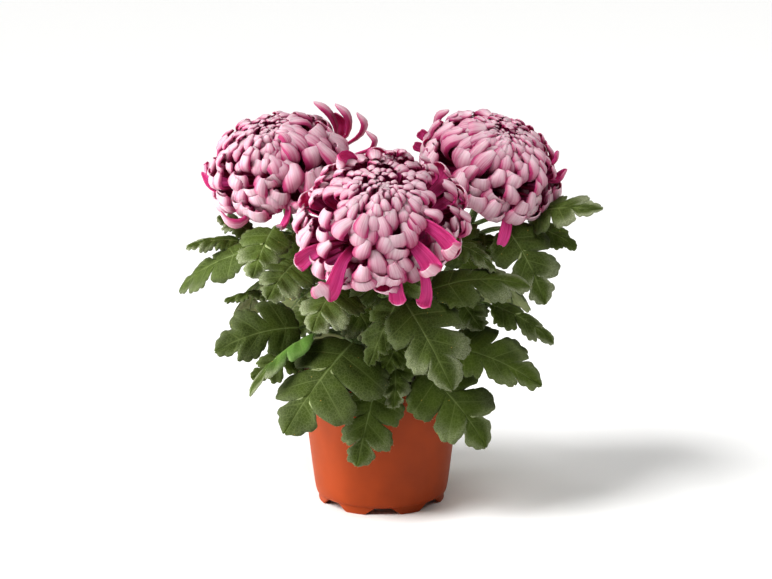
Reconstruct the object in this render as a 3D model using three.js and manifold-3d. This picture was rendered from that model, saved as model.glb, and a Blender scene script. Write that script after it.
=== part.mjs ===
// Potted chrysanthemum: three large incurved blooms on three leafy stems, in a plastic nursery pot of peat.
// Millimetres, +Z up. The origin is on the surface the pot stands on, at the pot's axis.
import * as THREE from "three";
import { mergeVertices } from "three/addons/utils/BufferGeometryUtils.js";
import Module from "manifold-3d";

const wasm = await Module();
wasm.setup();

// ---------------------------------------------------------------- driving dimensions
const GAP = 0.3; // clearance wherever two nodes meet

const POT = {
  rimRadius: 65,
  height: 101,
  rimBand: 12, // height of the thick band round the mouth
  rimEdge: 1.2, // height of the bevel on the rim's top edge
  mouthRadius: 61.5, // wall radius right under the band
  footRadius: 49.2,
  footHeight: 6.2,
  footStep: 0.9, // how far the wall stands out of the foot ring
  skirtHeight: 7, // the lowest part of the wall, which flares more than the rest
  skirtFlare: 2.2,
  wall: 1.4,
  floorLow: 1, // underside of the floor below the top of the foot ring
  floorHigh: 0.6, // and its upper side above it
  ringWidth: 2.6, // thickness of the foot ring
  notches: 7,
  notchWide: 28, // width of a notch at the surface the pot stands on
  notchNarrow: 13, // and at its top
  notchRoof: 0.8, // left of the foot ring above a notch
  notchTurn: 1.5, // degrees from the front to the nearest notch
  drainHoles: 7,
  drainRadius: 4.5,
  drainCircle: 33,
  sides: 32,
};
const SOIL = { top: 87, lump: 1.6, holeDepth: 34, rings: [46, 30, 14] }; // rings: radii that carry the lumps
const STEM = { radius: 3.3, sides: 7, steps: 10 };
const CALYX = { radius: 14, depth: 9, sides: 12 };
const LEAF = { ribThickness: 2, stalk: 1.7 };
const FLORET = {
  root: 10, // radius of the receptacle that the florets grow from
  sink: 6, // how far its middle lies below the widest ring of the bloom
  thickness: 1.5,
  trough: 0.4, // how deep the trough is, as a share of the half width
  core: 0.72, // the solid heart of a bloom, as a share of its skin
  stations: [[0, 0.6], [0.5, 1], [0.88, 0.8]], // share of the midline, share of the width
};

// ---------------------------------------------------------------- small helpers
const V = (x, y, z) => new THREE.Vector3(x, y, z);
const rad = THREE.MathUtils.degToRad;
const mix = (a, b, t) => a + (b - a) * t;
const smooth = (t) => {
  const c = Math.min(1, Math.max(0, t));
  return c * c * (3 - 2 * c);
};

function seeded(seed) {
  let a = seed * 2654435761;
  return () => {
    a = (a + 0x6d2b79f5) | 0;
    let t = Math.imul(a ^ (a >>> 15), 1 | a);
    t = (t + Math.imul(t ^ (t >>> 7), 61 | t)) ^ t;
    return ((t ^ (t >>> 14)) >>> 0) / 4294967296;
  };
}

// A closed three.js geometry as a manifold-3d solid.
function solid(geometry) {
  const bare = geometry.clone();
  bare.deleteAttribute("normal");
  bare.deleteAttribute("uv");
  const merged = mergeVertices(bare, 1e-4);
  const index = [];
  const all = merged.index.array;
  for (let i = 0; i < all.length; i += 3) {
    const [a, b, c] = [all[i], all[i + 1], all[i + 2]];
    if (a !== b && b !== c && c !== a) index.push(a, b, c);
  }
  return new wasm.Manifold(
    new wasm.Mesh({
      numProp: 3,
      vertProperties: new Float32Array(merged.attributes.position.array),
      triVerts: new Uint32Array(index),
    }),
  );
}

// A manifold-3d solid as a named three.js mesh.
function node(name, made, material) {
  const mesh = made.getMesh();
  const geometry = new THREE.BufferGeometry()
    .setAttribute("position", new THREE.BufferAttribute(new Float32Array(mesh.vertProperties), 3))
    .setIndex(new THREE.BufferAttribute(new Uint32Array(mesh.triVerts), 1));
  geometry.computeVertexNormals();
  const out = new THREE.Mesh(geometry, material);
  out.name = name;
  return out;
}

// Sharp slivers left by a union are folded away, and the largest body is kept.
function tidy(made, tolerance) {
  const bodies = made.simplify(tolerance).decompose();
  return bodies.reduce((a, b) => (b.volume() > a.volume() ? b : a));
}

// A four-sided cone drawn out through stations and bent: each station gives its face, right, back and left
// points, and the last one is the tip. Leaves and florets are all made this way.
function blade(stations, tip) {
  const rows = stations.length;
  const cone = new THREE.ConeGeometry(1, 1, 4, rows, false);
  const at = cone.attributes.position;
  const centre = stations[0].reduce((s, p) => s.add(p), V(0, 0, 0)).multiplyScalar(0.25);
  for (let i = 0; i < at.count; i++) {
    const station = Math.round((at.getY(i) + 0.5) * rows);
    let p = tip;
    if (station < rows) {
      const [x, z] = [at.getX(i), at.getZ(i)];
      const side = z > 1e-6 ? 0 : x > 1e-6 ? 1 : z < -1e-6 ? 2 : x < -1e-6 ? 3 : 4;
      p = side < 4 ? stations[station][side] : centre;
    }
    at.setXYZ(i, p.x, p.y, p.z);
  }
  return solid(cone);
}

// ---------------------------------------------------------------- pot
function potProfile() {
  const p = POT;
  const wallFoot = p.footRadius + p.footStep;
  const skirt = [wallFoot + p.skirtFlare, p.footHeight + p.skirtHeight];
  const band = p.height - p.rimBand;
  return [
    [0, p.footHeight - p.floorLow],
    [p.footRadius - p.ringWidth, p.footHeight - p.floorLow],
    [p.footRadius - p.ringWidth, 0],
    [p.footRadius, 0],
    [p.footRadius, p.footHeight],
    [wallFoot, p.footHeight + 0.5],
    skirt,
    [p.mouthRadius, band - 1],
    [p.rimRadius - 0.6, band],
    [p.rimRadius, p.height - p.rimEdge],
    [p.rimRadius - 0.8, p.height],
    [p.mouthRadius - p.wall + 0.6, band],
    [skirt[0] - p.wall, skirt[1]],
    [wallFoot - p.wall - 0.6, p.footHeight + p.floorHigh + 0.2],
    [0, p.footHeight + p.floorHigh],
  ];
}

function lathe(profile, sides) {
  const outline = profile.map(([r, z]) => new THREE.Vector2(r, z));
  return solid(new THREE.LatheGeometry(outline, sides).rotateX(Math.PI / 2));
}

function makePot() {
  let pot = lathe(potProfile(), POT.sides);
  const roof = POT.footHeight - POT.notchRoof;
  const notch = new THREE.Shape([
    new THREE.Vector2(-POT.notchWide / 2, -1),
    new THREE.Vector2(POT.notchWide / 2, -1),
    new THREE.Vector2(POT.notchNarrow / 2, roof),
    new THREE.Vector2(-POT.notchNarrow / 2, roof),
  ]);
  const depth = POT.ringWidth * 5.4; // well through the ring on both sides
  for (let i = 0; i < POT.notches; i++) {
    const turn = rad(POT.notchTurn - 90 + (i * 360) / POT.notches);
    const cut = new THREE.ExtrudeGeometry(notch, { depth, bevelEnabled: false })
      .rotateX(Math.PI / 2)
      .translate(0, depth / 2, 0)
      .rotateZ(turn - Math.PI / 2)
      .translate(Math.cos(turn) * POT.footRadius, Math.sin(turn) * POT.footRadius, 0);
    pot = pot.subtract(solid(cut));
  }
  for (let i = 0; i < POT.drainHoles; i++) {
    const turn = rad((i * 360) / POT.drainHoles);
    const drain = new THREE.CylinderGeometry(POT.drainRadius, POT.drainRadius, 20, 8)
      .rotateX(Math.PI / 2)
      .translate(Math.cos(turn) * POT.drainCircle, Math.sin(turn) * POT.drainCircle, POT.footHeight);
    pot = pot.subtract(solid(drain));
  }
  return pot;
}

// ---------------------------------------------------------------- blooms
// A bloom's own frame: origin at the middle of its widest ring, +Z along its axis, out through the eye.
// lean is how far the axis tips to the right and to the front, in degrees; radius, dome and under are the
// half axes of the bloom's skin sideways, towards the eye and towards the stem; seat is how far below the
// widest ring the green calyx ends, count the number of its florets, and seed that of its random draw.
const bloom = (at, lean, radius, dome, under, seat, count, seed) =>
  ({ at, lean, radius, dome, under, seat, count, seed });

const BLOOMS = {
  front: bloom([2, -62, 227], [0, 36], 62, 46, 28, 22, 41, 11),
  left: bloom([-79, 30, 254], [-8, 22], 55, 39, 21, 20, 37, 23),
  right: bloom([84, 32, 253], [16, 24], 54, 39, 20, 20, 37, 37),
};

// Florets that stand out of the round: the width, the way across the floret (its inner face is on the left of
// that way when looking out from the bloom), and points of the midline from inside the bloom to the tip.
const stray = (width, across, ...path) => ({ width, across, path });

const STRAYS = {
  front: [
    stray(12, [1, 0, 0], [8, -84, 212], [11, -102, 198], [11, -103, 187], [13, -103, 178]),
    stray(12, [1, 0, 0], [20, -84, 212], [30, -100, 201], [32, -101, 186], [30, -100, 174]),
    stray(12, [1, 0, -1.7], [-24, -78, 220], [-39, -88, 217], [-51, -88, 212], [-61, -88, 203]),
    stray(11, [1, -2, 0], [-16, -80, 216], [-23, -96, 207], [-32, -98, 192], [-42, -96, 198]),
  ],
  left: [
    stray(9, [1, 3, 0], [-58, 38, 264], [-36, 48, 281], [-42, 48, 297], [-50, 48, 307]),
    stray(9, [1, 3, 0], [-54, 36, 262], [-24, 42, 281], [-26, 42, 297], [-34, 42, 305]),
    stray(9, [1, 3, 0], [-50, 34, 260], [-20, 36, 276], [-14, 36, 289], [-17, 36, 299]),
    stray(9, [1, 3, 0], [-50, 30, 256], [-17, 30, 267], [-8, 30, 272], [-6, 30, 279]),
    stray(9, [0, -1, 0], [-90, 6, 246], [-96, -8, 238], [-100, -10, 224], [-111, -10, 221], [-120, -8, 229]),
    stray(9, [-0.9, 0, -1], [-104, 20, 244], [-115, 12, 240], [-128, 10, 245], [-138, 12, 256]),
  ],
  right: [
    stray(9, [0, -1, 0], [62, 44, 266], [43, 52, 281], [44, 52, 295], [53, 52, 298]),
    stray(9, [-0.7, 0, -1], [62, 38, 262], [41, 42, 274], [34, 42, 280], [30, 42, 284]),
    stray(9, [-0.7, 0, -1], [62, 34, 256], [39, 32, 268], [32, 32, 272], [25, 32, 275]),
    stray(9, [0, 1, 0], [108, 30, 244], [127, 26, 246], [137, 26, 247], [144, 26, 256]),
    stray(8, [1, 0, 0.2], [94, 8, 240], [96, -8, 231], [94, -12, 215], [90, -14, 203]),
    stray(9, [0, 1, 0], [100, 36, 260], [127, 28, 257], [135, 28, 262], [137, 28, 271]),
  ],
};

function bloomFrame(b) {
  const [side, fore] = b.lean.map(rad);
  const axis = V(Math.sin(side), -Math.sin(fore), Math.cos(side) * Math.cos(fore)).normalize();
  const x = V(1, 0, 0).addScaledVector(axis, -axis.x).normalize();
  return new THREE.Matrix4().makeBasis(x, axis.clone().cross(x), axis).setPosition(...b.at);
}

// Distance from the bloom's origin to its outer skin, in the direction angle degrees off the axis.
function skin(b, angle, share = 1) {
  const a = rad(angle);
  return share / Math.hypot(Math.sin(a) / b.radius, Math.cos(a) / (angle < 90 ? b.dome : b.under));
}

// One floret's midline in the plane through the axis, as [radius, height] points. It starts at the
// receptacle, runs out and turns back towards the eye. shoulder is the direction of its outermost point.
function floretLine(b, f, count = 24) {
  const start = f.shoulder + f.rise;
  const turn = 90 + f.rise + f.hook;
  const line = [[0, 0]];
  for (let i = 1; i <= count; i++) {
    const s = (i - 0.5) / count;
    const late = smooth((s - f.bendFrom) / (1 - f.bendFrom));
    const heading = rad(start - turn * mix(0.3 * s, 1 - 0.3 * (1 - s), late));
    const [r, z] = line[i - 1];
    line.push([r + Math.sin(heading) / count, z + Math.cos(heading) / count]);
  }
  const far = Math.max(...line.map(([r, z]) => Math.hypot(r, z)));
  const length = (skin(b, f.shoulder) * f.reach - FLORET.sink) / far;
  const from = rad(Math.min(f.shoulder, 80));
  const foot = [FLORET.root * Math.sin(from), FLORET.root * Math.cos(from) - FLORET.sink];
  return line.map(([r, z]) => [foot[0] + r * length, foot[1] + z * length]);
}

// The florets of a bloom, from the eye out. The golden angle sets each one's place round the axis.
function florets(b) {
  const draw = seeded(b.seed);
  const list = [];
  for (let i = 0; i < b.count; i++) {
    const t = (i + 0.5) / b.count;
    const jitter = () => draw() * 2 - 1;
    list.push({
      turn: i * 137.508 + jitter() * 5,
      shoulder: mix(12, 104, Math.pow(t, 0.75)) + jitter() * 3,
      rise: mix(10, 20, t),
      hook: mix(14, 56, Math.pow(t, 1.3)) + jitter() * 14,
      bendFrom: mix(0.15, 0.45, t),
      reach: mix(0.97, 1, t) + jitter() * 0.035,
      width: mix(10.6, 24.7, Math.pow(t, 0.6)) * (1 + jitter() * 0.1),
    });
  }
  return list;
}

// A floret along a midline: a trough whose back, the side away from the eye, is its face in blade's terms.
function ribbon(points, across, width) {
  const curve = new THREE.CatmullRomCurve3(points);
  const stations = FLORET.stations.map(([t, share]) => {
    const p = curve.getPoint(t);
    const way = curve.getTangent(t);
    const x = across.clone().addScaledVector(way, -across.dot(way)).normalize();
    const back = x.clone().cross(way);
    const half = (width / 2) * share;
    const bow = half * FLORET.trough;
    const side = (s) => p.clone().addScaledVector(x, s * half).addScaledVector(back, -bow);
    const middle = (s) => p.clone().addScaledVector(back, bow / 2 + (s * FLORET.thickness) / 2);
    return [middle(1), side(1), middle(-1), side(-1)];
  });
  return blade(stations, curve.getPoint(1));
}

function makeFloret(b, f) {
  const line = floretLine(b, f);
  // The part that is buried in the core is left off.
  const buried = ([r, z]) => {
    const angle = THREE.MathUtils.radToDeg(Math.atan2(r, z));
    return Math.hypot(r, z) < skin(b, angle, FLORET.core) - 2 * FLORET.thickness;
  };
  let first = 0;
  while (first < line.length - 9 && buried(line[first + 1])) first++;
  const [c, s] = [Math.cos(rad(f.turn)), Math.sin(rad(f.turn))];
  return ribbon(line.slice(first).map(([r, z]) => V(r * c, r * s, z)), V(-s, c, 0), f.width);
}

function makeCore(b) {
  const profile = [[0, -b.seat], [CALYX.radius, -b.seat]];
  for (const angle of [112, 98, 84, 66, 48, 30, 14]) {
    const r = skin(b, angle, FLORET.core);
    profile.push([r * Math.sin(rad(angle)), r * Math.cos(rad(angle))]);
  }
  profile.push([0, b.dome * FLORET.core]);
  return lathe(profile, 12);
}

function makeBloom(name) {
  const b = BLOOMS[name];
  const frame = bloomFrame(b);
  const round = [makeCore(b), ...florets(b).map((f) => makeFloret(b, f))];
  const strays = STRAYS[name].map((s) => ribbon(s.path.map((p) => V(...p)), V(...s.across), s.width));
  return tidy(wasm.Manifold.union([...round.map((f) => f.transform(frame.elements)), ...strays]), 0.3);
}

// ---------------------------------------------------------------- leaves
// Half an outline, from the foot of the blade to its tip: [share of the half width, share of the length,
// share of the rib that this point of the margin grows from, how far a fully cut leaf is notched here].
const OUTLINE = [
  [0.08, 0, 0, 0],
  [0.42, 0.04, 0.04, 0],
  [0.86, 0.12, 0.09, 0],
  [1, 0.27, 0.15, 0],
  [0.84, 0.39, 0.22, 0.05],
  [0.78, 0.39, 0.29, 0.45],
  [0.8, 0.52, 0.37, 0.05],
  [0.8, 0.67, 0.45, 0],
  [0.6, 0.75, 0.53, 0.04],
  [0.55, 0.69, 0.6, 0.28],
  [0.46, 0.81, 0.7, 0.02],
  [0.27, 0.93, 0.83, 0],
];

// base and tip of the blade, the way its upper face looks, its half widths on the right and on the left when
// looking from base to tip, how deep its notches are (cut), how far the rib bows up (arch) and the sides
// hang (sag), and the height on the stem (from) that its stalk leaves.
const leaf = (base, tip, face, width, cut, arch, sag, from) =>
  ({ base, tip, face, width, cut, arch, sag, from });

const LEAVES = {
  front: [
    leaf([-22, -46, 135], [-67, -88, 74], [-0.25, -0.7, 0.6], [33, 42], 0.9, 8, 8, 112),
    leaf([-4, -66, 107], [-19, -80, 49], [0, -1, 0.3], [18, 25], 0.8, 3, 5, 98),
    leaf([18, -72, 171], [49, -104, 113], [0.1, -0.8, 0.6], [23, 33], 0.5, 8, 7, 150),
    leaf([12, -72, 173], [-9, -75, 125], [-0.2, -0.9, 0.4], [15, 9], 0.3, 4, 4, 146),
    leaf([-30, -66, 183], [-54, -92, 156], [-0.2, -0.7, 0.7], [21, 26], 0.9, 5, 6, 165),
    leaf([10, -57, 123], [13, -73, 92], [0, -0.9, 0.4], [13, 13], 0.6, 3, 3, 116),
    leaf([32, -52, 114], [81, -74, 64], [0.3, -0.7, 0.6], [30, 35], 0.9, 6, 6, 104),
    leaf([8, 10, 176], [4, 60, 160], [0, 0.3, 1], [24, 24], 0.8, 6, 5, 160),
  ],
  left: [
    leaf([-82, -26, 218], [-95, -46, 184], [-0.2, -0.8, 0.5], [21, 17], 0.9, 4, 5, 205),
    leaf([-100, -14, 200], [-162, 50, 152], [-0.3, -0.7, 0.6], [13, 15], 0.7, 8, 5, 185),
    leaf([-111, 16, 201], [-151, 10, 197], [-0.2, -0.4, 0.9], [9, 8], 0.6, 4, 3, 192),
    leaf([-101, 22, 207], [-129, 24, 215], [0, -0.5, 0.9], [12, 10], 0.5, 3, 3, 200),
    leaf([-64, -44, 196], [-85, -66, 173], [-0.2, -0.7, 0.6], [18, 24], 0.9, 4, 4, 172),
    leaf([-88, 2, 163], [-121, -8, 159], [-0.2, -0.2, 1], [9, 9], 0.6, 3, 3, 150),
    leaf([-63, -26, 142], [-127, -40, 132], [-0.1, -0.75, 0.6], [28, 18], 0.5, 7, 6, 132),
    leaf([-52, -42, 141], [-99, -66, 100], [-0.7, -0.2, 0.7], [10, 13], 0.4, 6, 6, 124),
    leaf([-62, -20, 123], [-96, -30, 99], [-0.3, -0.6, 0.7], [16, 16], 0.8, 4, 4, 112),
    leaf([-68, -6, 210], [-52, -20, 174], [0.2, -0.9, 0.4], [16, 16], 0.8, 4, 4, 188),
    leaf([-26, -6, 166], [-6, -24, 126], [0.2, -0.8, 0.5], [22, 22], 0.8, 4, 4, 150),
    leaf([-72, 62, 190], [-100, 112, 164], [-0.2, 0.5, 0.8], [26, 26], 0.8, 8, 6, 176),
    leaf([-48, 58, 152], [-74, 122, 118], [-0.1, 0.6, 0.7], [30, 30], 0.8, 9, 7, 136),
    leaf([-6, 54, 142], [-10, 106, 110], [0, 0.5, 0.8], [28, 28], 0.8, 8, 6, 122),
    leaf([-66, 74, 206], [-60, 104, 186], [0, 0.6, 0.8], [17, 17], 0.8, 5, 4, 194),
    leaf([-25, 55, 122], [-45, 92, 70], [-0.1, 0.8, 0.5], [27, 27], 0.8, 7, 6, 102),
    leaf([-88, 50, 166], [-112, 90, 118], [-0.5, 0.4, 0.7], [23, 23], 0.8, 8, 6, 152),
  ],
  right: [
    leaf([49, -46, 132], [120, -58, 104], [0.2, -0.7, 0.8], [16, 32], 0.5, 9, 7, 122),
    leaf([38, -58, 179], [112, -44, 175], [0.1, -0.5, 0.9], [21, 22], 0.5, 10, 7, 150),
    leaf([96, 0, 214], [127, -22, 160], [0.2, -0.8, 0.5], [20, 27], 1, 6, 6, 190),
    leaf([117, 24, 222], [163.5, -30, 229], [0.2, -0.3, 1], [17, 14], 0.7, 6, 4, 206),
    leaf([114, 20, 212], [151, 10, 197], [0.2, -0.5, 0.8], [14, 14], 0.7, 4, 4, 196),
    leaf([84, -28, 160], [132, -32, 134], [0.3, -0.6, 0.8], [13, 12], 0.9, 4, 4, 152),
    leaf([56, -26, 169], [73, -34, 140], [0.2, -0.8, 0.5], [17, 17], 0.5, 3, 4, 140),
    leaf([54, -30, 208], [88, -40, 192], [0.1, -0.5, 0.9], [10, 9], 0.7, 4, 3, 178),
    leaf([80, 14, 206], [79, 6, 182], [0, -0.8, 0.5], [16, 16], 0.8, 3, 3, 196),
    leaf([28, 2, 162], [12, -16, 122], [0, -0.8, 0.5], [20, 20], 0.8, 4, 4, 144),
    leaf([76, 64, 192], [104, 112, 168], [0.2, 0.5, 0.8], [26, 26], 0.8, 8, 6, 176),
    leaf([50, 60, 152], [82, 112, 120], [0.1, 0.6, 0.7], [30, 30], 0.8, 9, 7, 136),
    leaf([14, 58, 176], [24, 106, 158], [0, 0.5, 0.8], [22, 22], 0.8, 7, 5, 160),
    leaf([26, 52, 120], [46, 88, 70], [0.1, 0.8, 0.5], [27, 27], 0.8, 7, 6, 102),
    leaf([90, 52, 164], [110, 92, 122], [0.5, 0.4, 0.7], [23, 23], 0.8, 8, 6, 150),
  ],
};

// Stems: where each stands in the soil, and points of its centre line on the way up to its bloom.
const STEMS = {
  front: { foot: [2, -16], bend: [[3, -19, 130], [3, -26, 170]] },
  left: { foot: [-14, 8], bend: [[-32, 20, 140], [-60, 38, 188]] },
  right: { foot: [15, 8], bend: [[34, 20, 140], [60, 40, 188]] },
};

function stemPath(name) {
  const { foot, bend } = STEMS[name];
  const b = BLOOMS[name];
  const frame = bloomFrame(b);
  const cup = -b.seat - GAP - CALYX.depth;
  const path = new THREE.CurvePath();
  const ground = V(...foot, SOIL.top + SOIL.lump + 1);
  path.add(new THREE.LineCurve3(V(...foot, SOIL.top - SOIL.holeDepth + GAP), ground));
  const up = [ground, V(...foot, ground.z + 9), ...bend.map((p) => V(...p))];
  up.push(V(0, 0, cup - 16).applyMatrix4(frame), V(0, 0, cup + 1).applyMatrix4(frame));
  path.add(new THREE.CatmullRomCurve3(up, false, "centripetal"));
  return path;
}

function makeStem(path) {
  const round = new THREE.Shape();
  round.absarc(0, 0, STEM.radius, 0, Math.PI * 2);
  const run = { steps: STEM.steps, curveSegments: STEM.sides, extrudePath: path };
  return solid(new THREE.ExtrudeGeometry(round, run));
}

// The point of the stem's centre line at a height.
function stemAt(path, height) {
  let [low, high] = [0, 1];
  for (let i = 0; i < 30; i++) {
    const middle = (low + high) / 2;
    if (path.getPoint(middle).z < height) low = middle;
    else high = middle;
  }
  return path.getPoint(low);
}

function makeLeaf(l, path) {
  const base = V(...l.base);
  const chord = V(...l.tip).sub(base);
  const y = chord.clone().normalize();
  const n = V(...l.face).addScaledVector(y, -V(...l.face).dot(y)).normalize();
  const x = y.clone().cross(n);
  const place = (across, along, up) =>
    base
      .clone()
      .addScaledVector(chord, along)
      .addScaledVector(x, across * l.width[across > 0 ? 0 : 1])
      .addScaledVector(n, up + l.arch * 4 * along * (1 - along) - l.sag * across * across);
  const root = stemAt(path, l.from);
  const knee = root.clone().lerp(base, 0.55);
  knee.z = Math.max(root.z, base.z);
  const stalk = new THREE.QuadraticBezierCurve3(root, knee, base);
  const stations = [0, 0.4, 0.8].map((t) => {
    const p = stalk.getPoint(t);
    const way = stalk.getTangent(t);
    const side = x.clone().addScaledVector(way, -x.dot(way)).normalize().multiplyScalar(LEAF.stalk);
    const top = side.clone().cross(way);
    return [p.clone().add(top), p.clone().add(side), p.clone().sub(top), p.clone().sub(side)];
  });
  for (const [plain, along, rib, notch] of OUTLINE) {
    const across = plain - notch * l.cut;
    const t = (LEAF.ribThickness / 2) * mix(1.4, 0.7, rib);
    stations.push([place(0, rib, t), place(across, along, 0), place(0, rib, -t), place(-across, along, 0)]);
  }
  return blade(stations, place(0, 1, 0));
}

function makeCalyx(b) {
  const cup = [
    [0, -CALYX.depth],
    [STEM.radius + 1.6, -CALYX.depth],
    [CALYX.radius * 0.72, -CALYX.depth * 0.6],
    [CALYX.radius, 0],
    [0, 0],
  ];
  const turned = lathe(cup.map(([r, z]) => [r, z - b.seat - GAP]), CALYX.sides);
  return turned.transform(bloomFrame(b).elements);
}

function makeLeafyStem(name) {
  const path = stemPath(name);
  const leaves = LEAVES[name].map((l) => makeLeaf(l, path));
  return tidy(wasm.Manifold.union([makeStem(path), makeCalyx(BLOOMS[name]), ...leaves]), 0.1);
}

// ---------------------------------------------------------------- soil
function makeSoil() {
  const p = potProfile();
  const wall = (z) => {
    const [low, high] = [p[12], p[11]];
    return mix(low[0], high[0], (z - low[1]) / (high[1] - low[1])) - GAP;
  };
  const floor = p[13][1] + GAP;
  const profile = [[0, floor], [p[13][0] - GAP - 0.4, floor], [wall(p[12][1]) - GAP, p[12][1]]];
  profile.push([wall(SOIL.top - 2), SOIL.top - 2]);
  for (const r of SOIL.rings) profile.push([r, SOIL.top]);
  profile.push([0, SOIL.top]);
  const outline = profile.map(([r, z]) => new THREE.Vector2(r, z));
  const geometry = new THREE.LatheGeometry(outline, POT.sides / 2).rotateX(Math.PI / 2);
  const at = geometry.attributes.position;
  for (let i = 0; i < at.count; i++) {
    const [x, y, z] = [at.getX(i), at.getY(i), at.getZ(i)];
    if (z < SOIL.top - 1) continue;
    const lump = Math.sin(x * 0.31 + 1) * Math.cos(y * 0.27) + 0.5 * Math.sin(x * 0.83 + y * 0.71);
    at.setZ(i, z + SOIL.lump * lump);
  }
  let soil = solid(geometry);
  const bore = STEM.radius + 2 * GAP;
  for (const name of Object.keys(STEMS)) {
    const [x, y] = STEMS[name].foot;
    const hole = new THREE.CylinderGeometry(bore, bore, SOIL.holeDepth + 10, 12)
      .rotateX(Math.PI / 2)
      .translate(x, y, SOIL.top + 5 - SOIL.holeDepth / 2);
    soil = soil.subtract(solid(hole));
  }
  return soil;
}

// ---------------------------------------------------------------- the part
const material = (color, roughness) => new THREE.MeshStandardMaterial({ color, roughness, metalness: 0 });
const POT_PLASTIC = material(0xb8502c, 0.5);
const PEAT = material(0x2c1d14, 0.95);
const LEAF_GREEN = material(0x3c5526, 0.6);
const FLORET_PINK = material(0xcf93b5, 0.55);

const plant = new THREE.Group();
plant.add(node("pot", makePot(), POT_PLASTIC));
plant.add(node("soil", makeSoil(), PEAT));
for (const name of Object.keys(BLOOMS)) {
  plant.add(node(`leafy_stem_${name}`, makeLeafyStem(name), LEAF_GREEN));
  plant.add(node(`bloom_${name}`, makeBloom(name), FLORET_PINK));
}

export default plant;
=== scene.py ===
import math
import random

import bmesh
import bpy
from bpy.props import FloatProperty, FloatVectorProperty, IntProperty, PointerProperty
from mathutils import Matrix, Vector, noise


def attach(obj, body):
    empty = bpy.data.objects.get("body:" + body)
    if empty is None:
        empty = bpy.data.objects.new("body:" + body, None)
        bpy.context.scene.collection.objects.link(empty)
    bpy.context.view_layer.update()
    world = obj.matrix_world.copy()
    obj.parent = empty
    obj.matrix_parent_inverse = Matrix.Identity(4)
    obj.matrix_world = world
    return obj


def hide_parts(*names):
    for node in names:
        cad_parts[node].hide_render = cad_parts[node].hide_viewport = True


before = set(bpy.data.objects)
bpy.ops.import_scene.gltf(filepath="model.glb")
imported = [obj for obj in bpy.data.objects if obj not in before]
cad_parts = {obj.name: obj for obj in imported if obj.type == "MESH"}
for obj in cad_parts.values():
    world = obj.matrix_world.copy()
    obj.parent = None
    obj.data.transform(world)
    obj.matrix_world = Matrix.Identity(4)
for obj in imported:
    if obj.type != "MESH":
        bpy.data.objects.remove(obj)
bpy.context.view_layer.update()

bl_info = {
    "name": "Pot Chrysanthemum",
    "version": (1, 0, 0),
    "blender": (4, 5, 0),
    "location": "View3D > Sidebar > Pot plant",
    "description": "A chrysanthemum with three large blooms on leafy stems, in a plastic pot of peat",
    "category": "Add Mesh",
}

# Sizes are in millimetres, as in the part's own source, and finish_piece() turns them to metres.
MM = 0.001
GAP = 0.3  # the clearance between a bloom and its calyx


# ---------------------------------------------------------------- what a user would change
def colour(code):
    """An sRGB hex colour as the linear values that Blender's colours hold."""
    parts = [int(code[i:i + 2], 16) / 255 for i in (1, 3, 5)]
    return tuple(c / 12.92 if c <= 0.04045 else ((c + 0.055) / 1.055) ** 2.4 for c in parts)


def length(name, description, millimetres):
    return FloatProperty(name=name, description=description, default=millimetres * MM, min=0, precision=4,
                         unit="LENGTH")


def paint(name, description, code):
    return FloatVectorProperty(name=name, description=description, default=colour(code), min=0, max=1,
                               subtype="COLOR")


def number_of(name, description, number, least, most):
    return IntProperty(name=name, description=description, default=number, min=least, max=most)


def brightness(name, description, strength, unit="NONE"):
    return FloatProperty(name=name, description=description, default=strength, min=0, unit=unit)


class PotSettings(bpy.types.PropertyGroup):
    rim_radius: length("Rim radius", "Outer radius of the band round the mouth", 65)
    height: length("Height", "From the table to the top of the rim", 101)
    foot_radius: length("Foot radius", "Outer radius of the foot ring", 49.2)
    notches: number_of("Notches", "Notches cut into the foot ring", 7, 3, 12)
    drain_holes: number_of("Drain holes", "Holes in the floor", 7, 3, 12)
    plastic: paint("Plastic", "Colour of the moulded pot", "#983D0C")


class PeatSettings(bpy.types.PropertyGroup):
    top: length("Top", "Height of the peat's surface above the table", 87)
    crumbs: number_of("Crumbs", "Loose crumbs on the surface", 420, 0, 2000)
    damp: paint("Damp peat", "Colour of the peat in the hollows", "#1B120C")
    dry: paint("Dry peat", "Colour of the peat on the high spots", "#4A3423")


class LeafSettings(bpy.types.PropertyGroup):
    thickness: length("Blade thickness", "Thickness of a leaf blade", 0.6)
    relief: length("Relief", "How far the blade swells between its veins", 1.3)
    teeth: length("Teeth", "How far the teeth of the margin stand out", 1.9)
    upper: paint("Upper face", "Colour of the upper face", "#38450D")
    vein: paint("Veins", "Colour of the midrib and the side veins", "#85935A")
    under: paint("Underside", "Colour of the downy underside", "#7C8756")
    down: paint("Down", "Colour of the short grey hairs", "#A9AD92")
    # A young leaf's lighter green: partly its own colour, partly painted light where light comes through the
    # blade.
    fresh: paint("Fresh leaf", "Colour of a young leaf with light in it", "#5C8438")
    speck: paint("Specks", "Colour of the small blemishes on a leaf", "#A8873C")
    stem: paint("Stem, dark", "The darker of a stem's two greens", "#3B4A1E")
    stem_light: paint("Stem, light", "The lighter of a stem's two greens", "#64803A")


class BloomSettings(bpy.types.PropertyGroup):
    florets: number_of("Florets", "Florets of each bloom", 275, 60, 400)
    thickness: length("Floret thickness", "Thickness of a floret", 0.8)
    outer: paint("Outer face", "The pale silvery face that looks away from the eye", "#CDAFB7")
    # The outer face's own streaks, and its deeper edges and foot, which are partly painted shade.
    rose_and_shade: paint("Rose", "Streaks, edges and foot of the outer face", "#A23465")
    inner: paint("Inner face", "The deep face that looks at the eye", "#D25293")
    # The inner face's darker streaks, and painted shade at its foot and its edges.
    shade: paint("Shade", "The inner face at its foot", "#AC2266")


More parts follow.
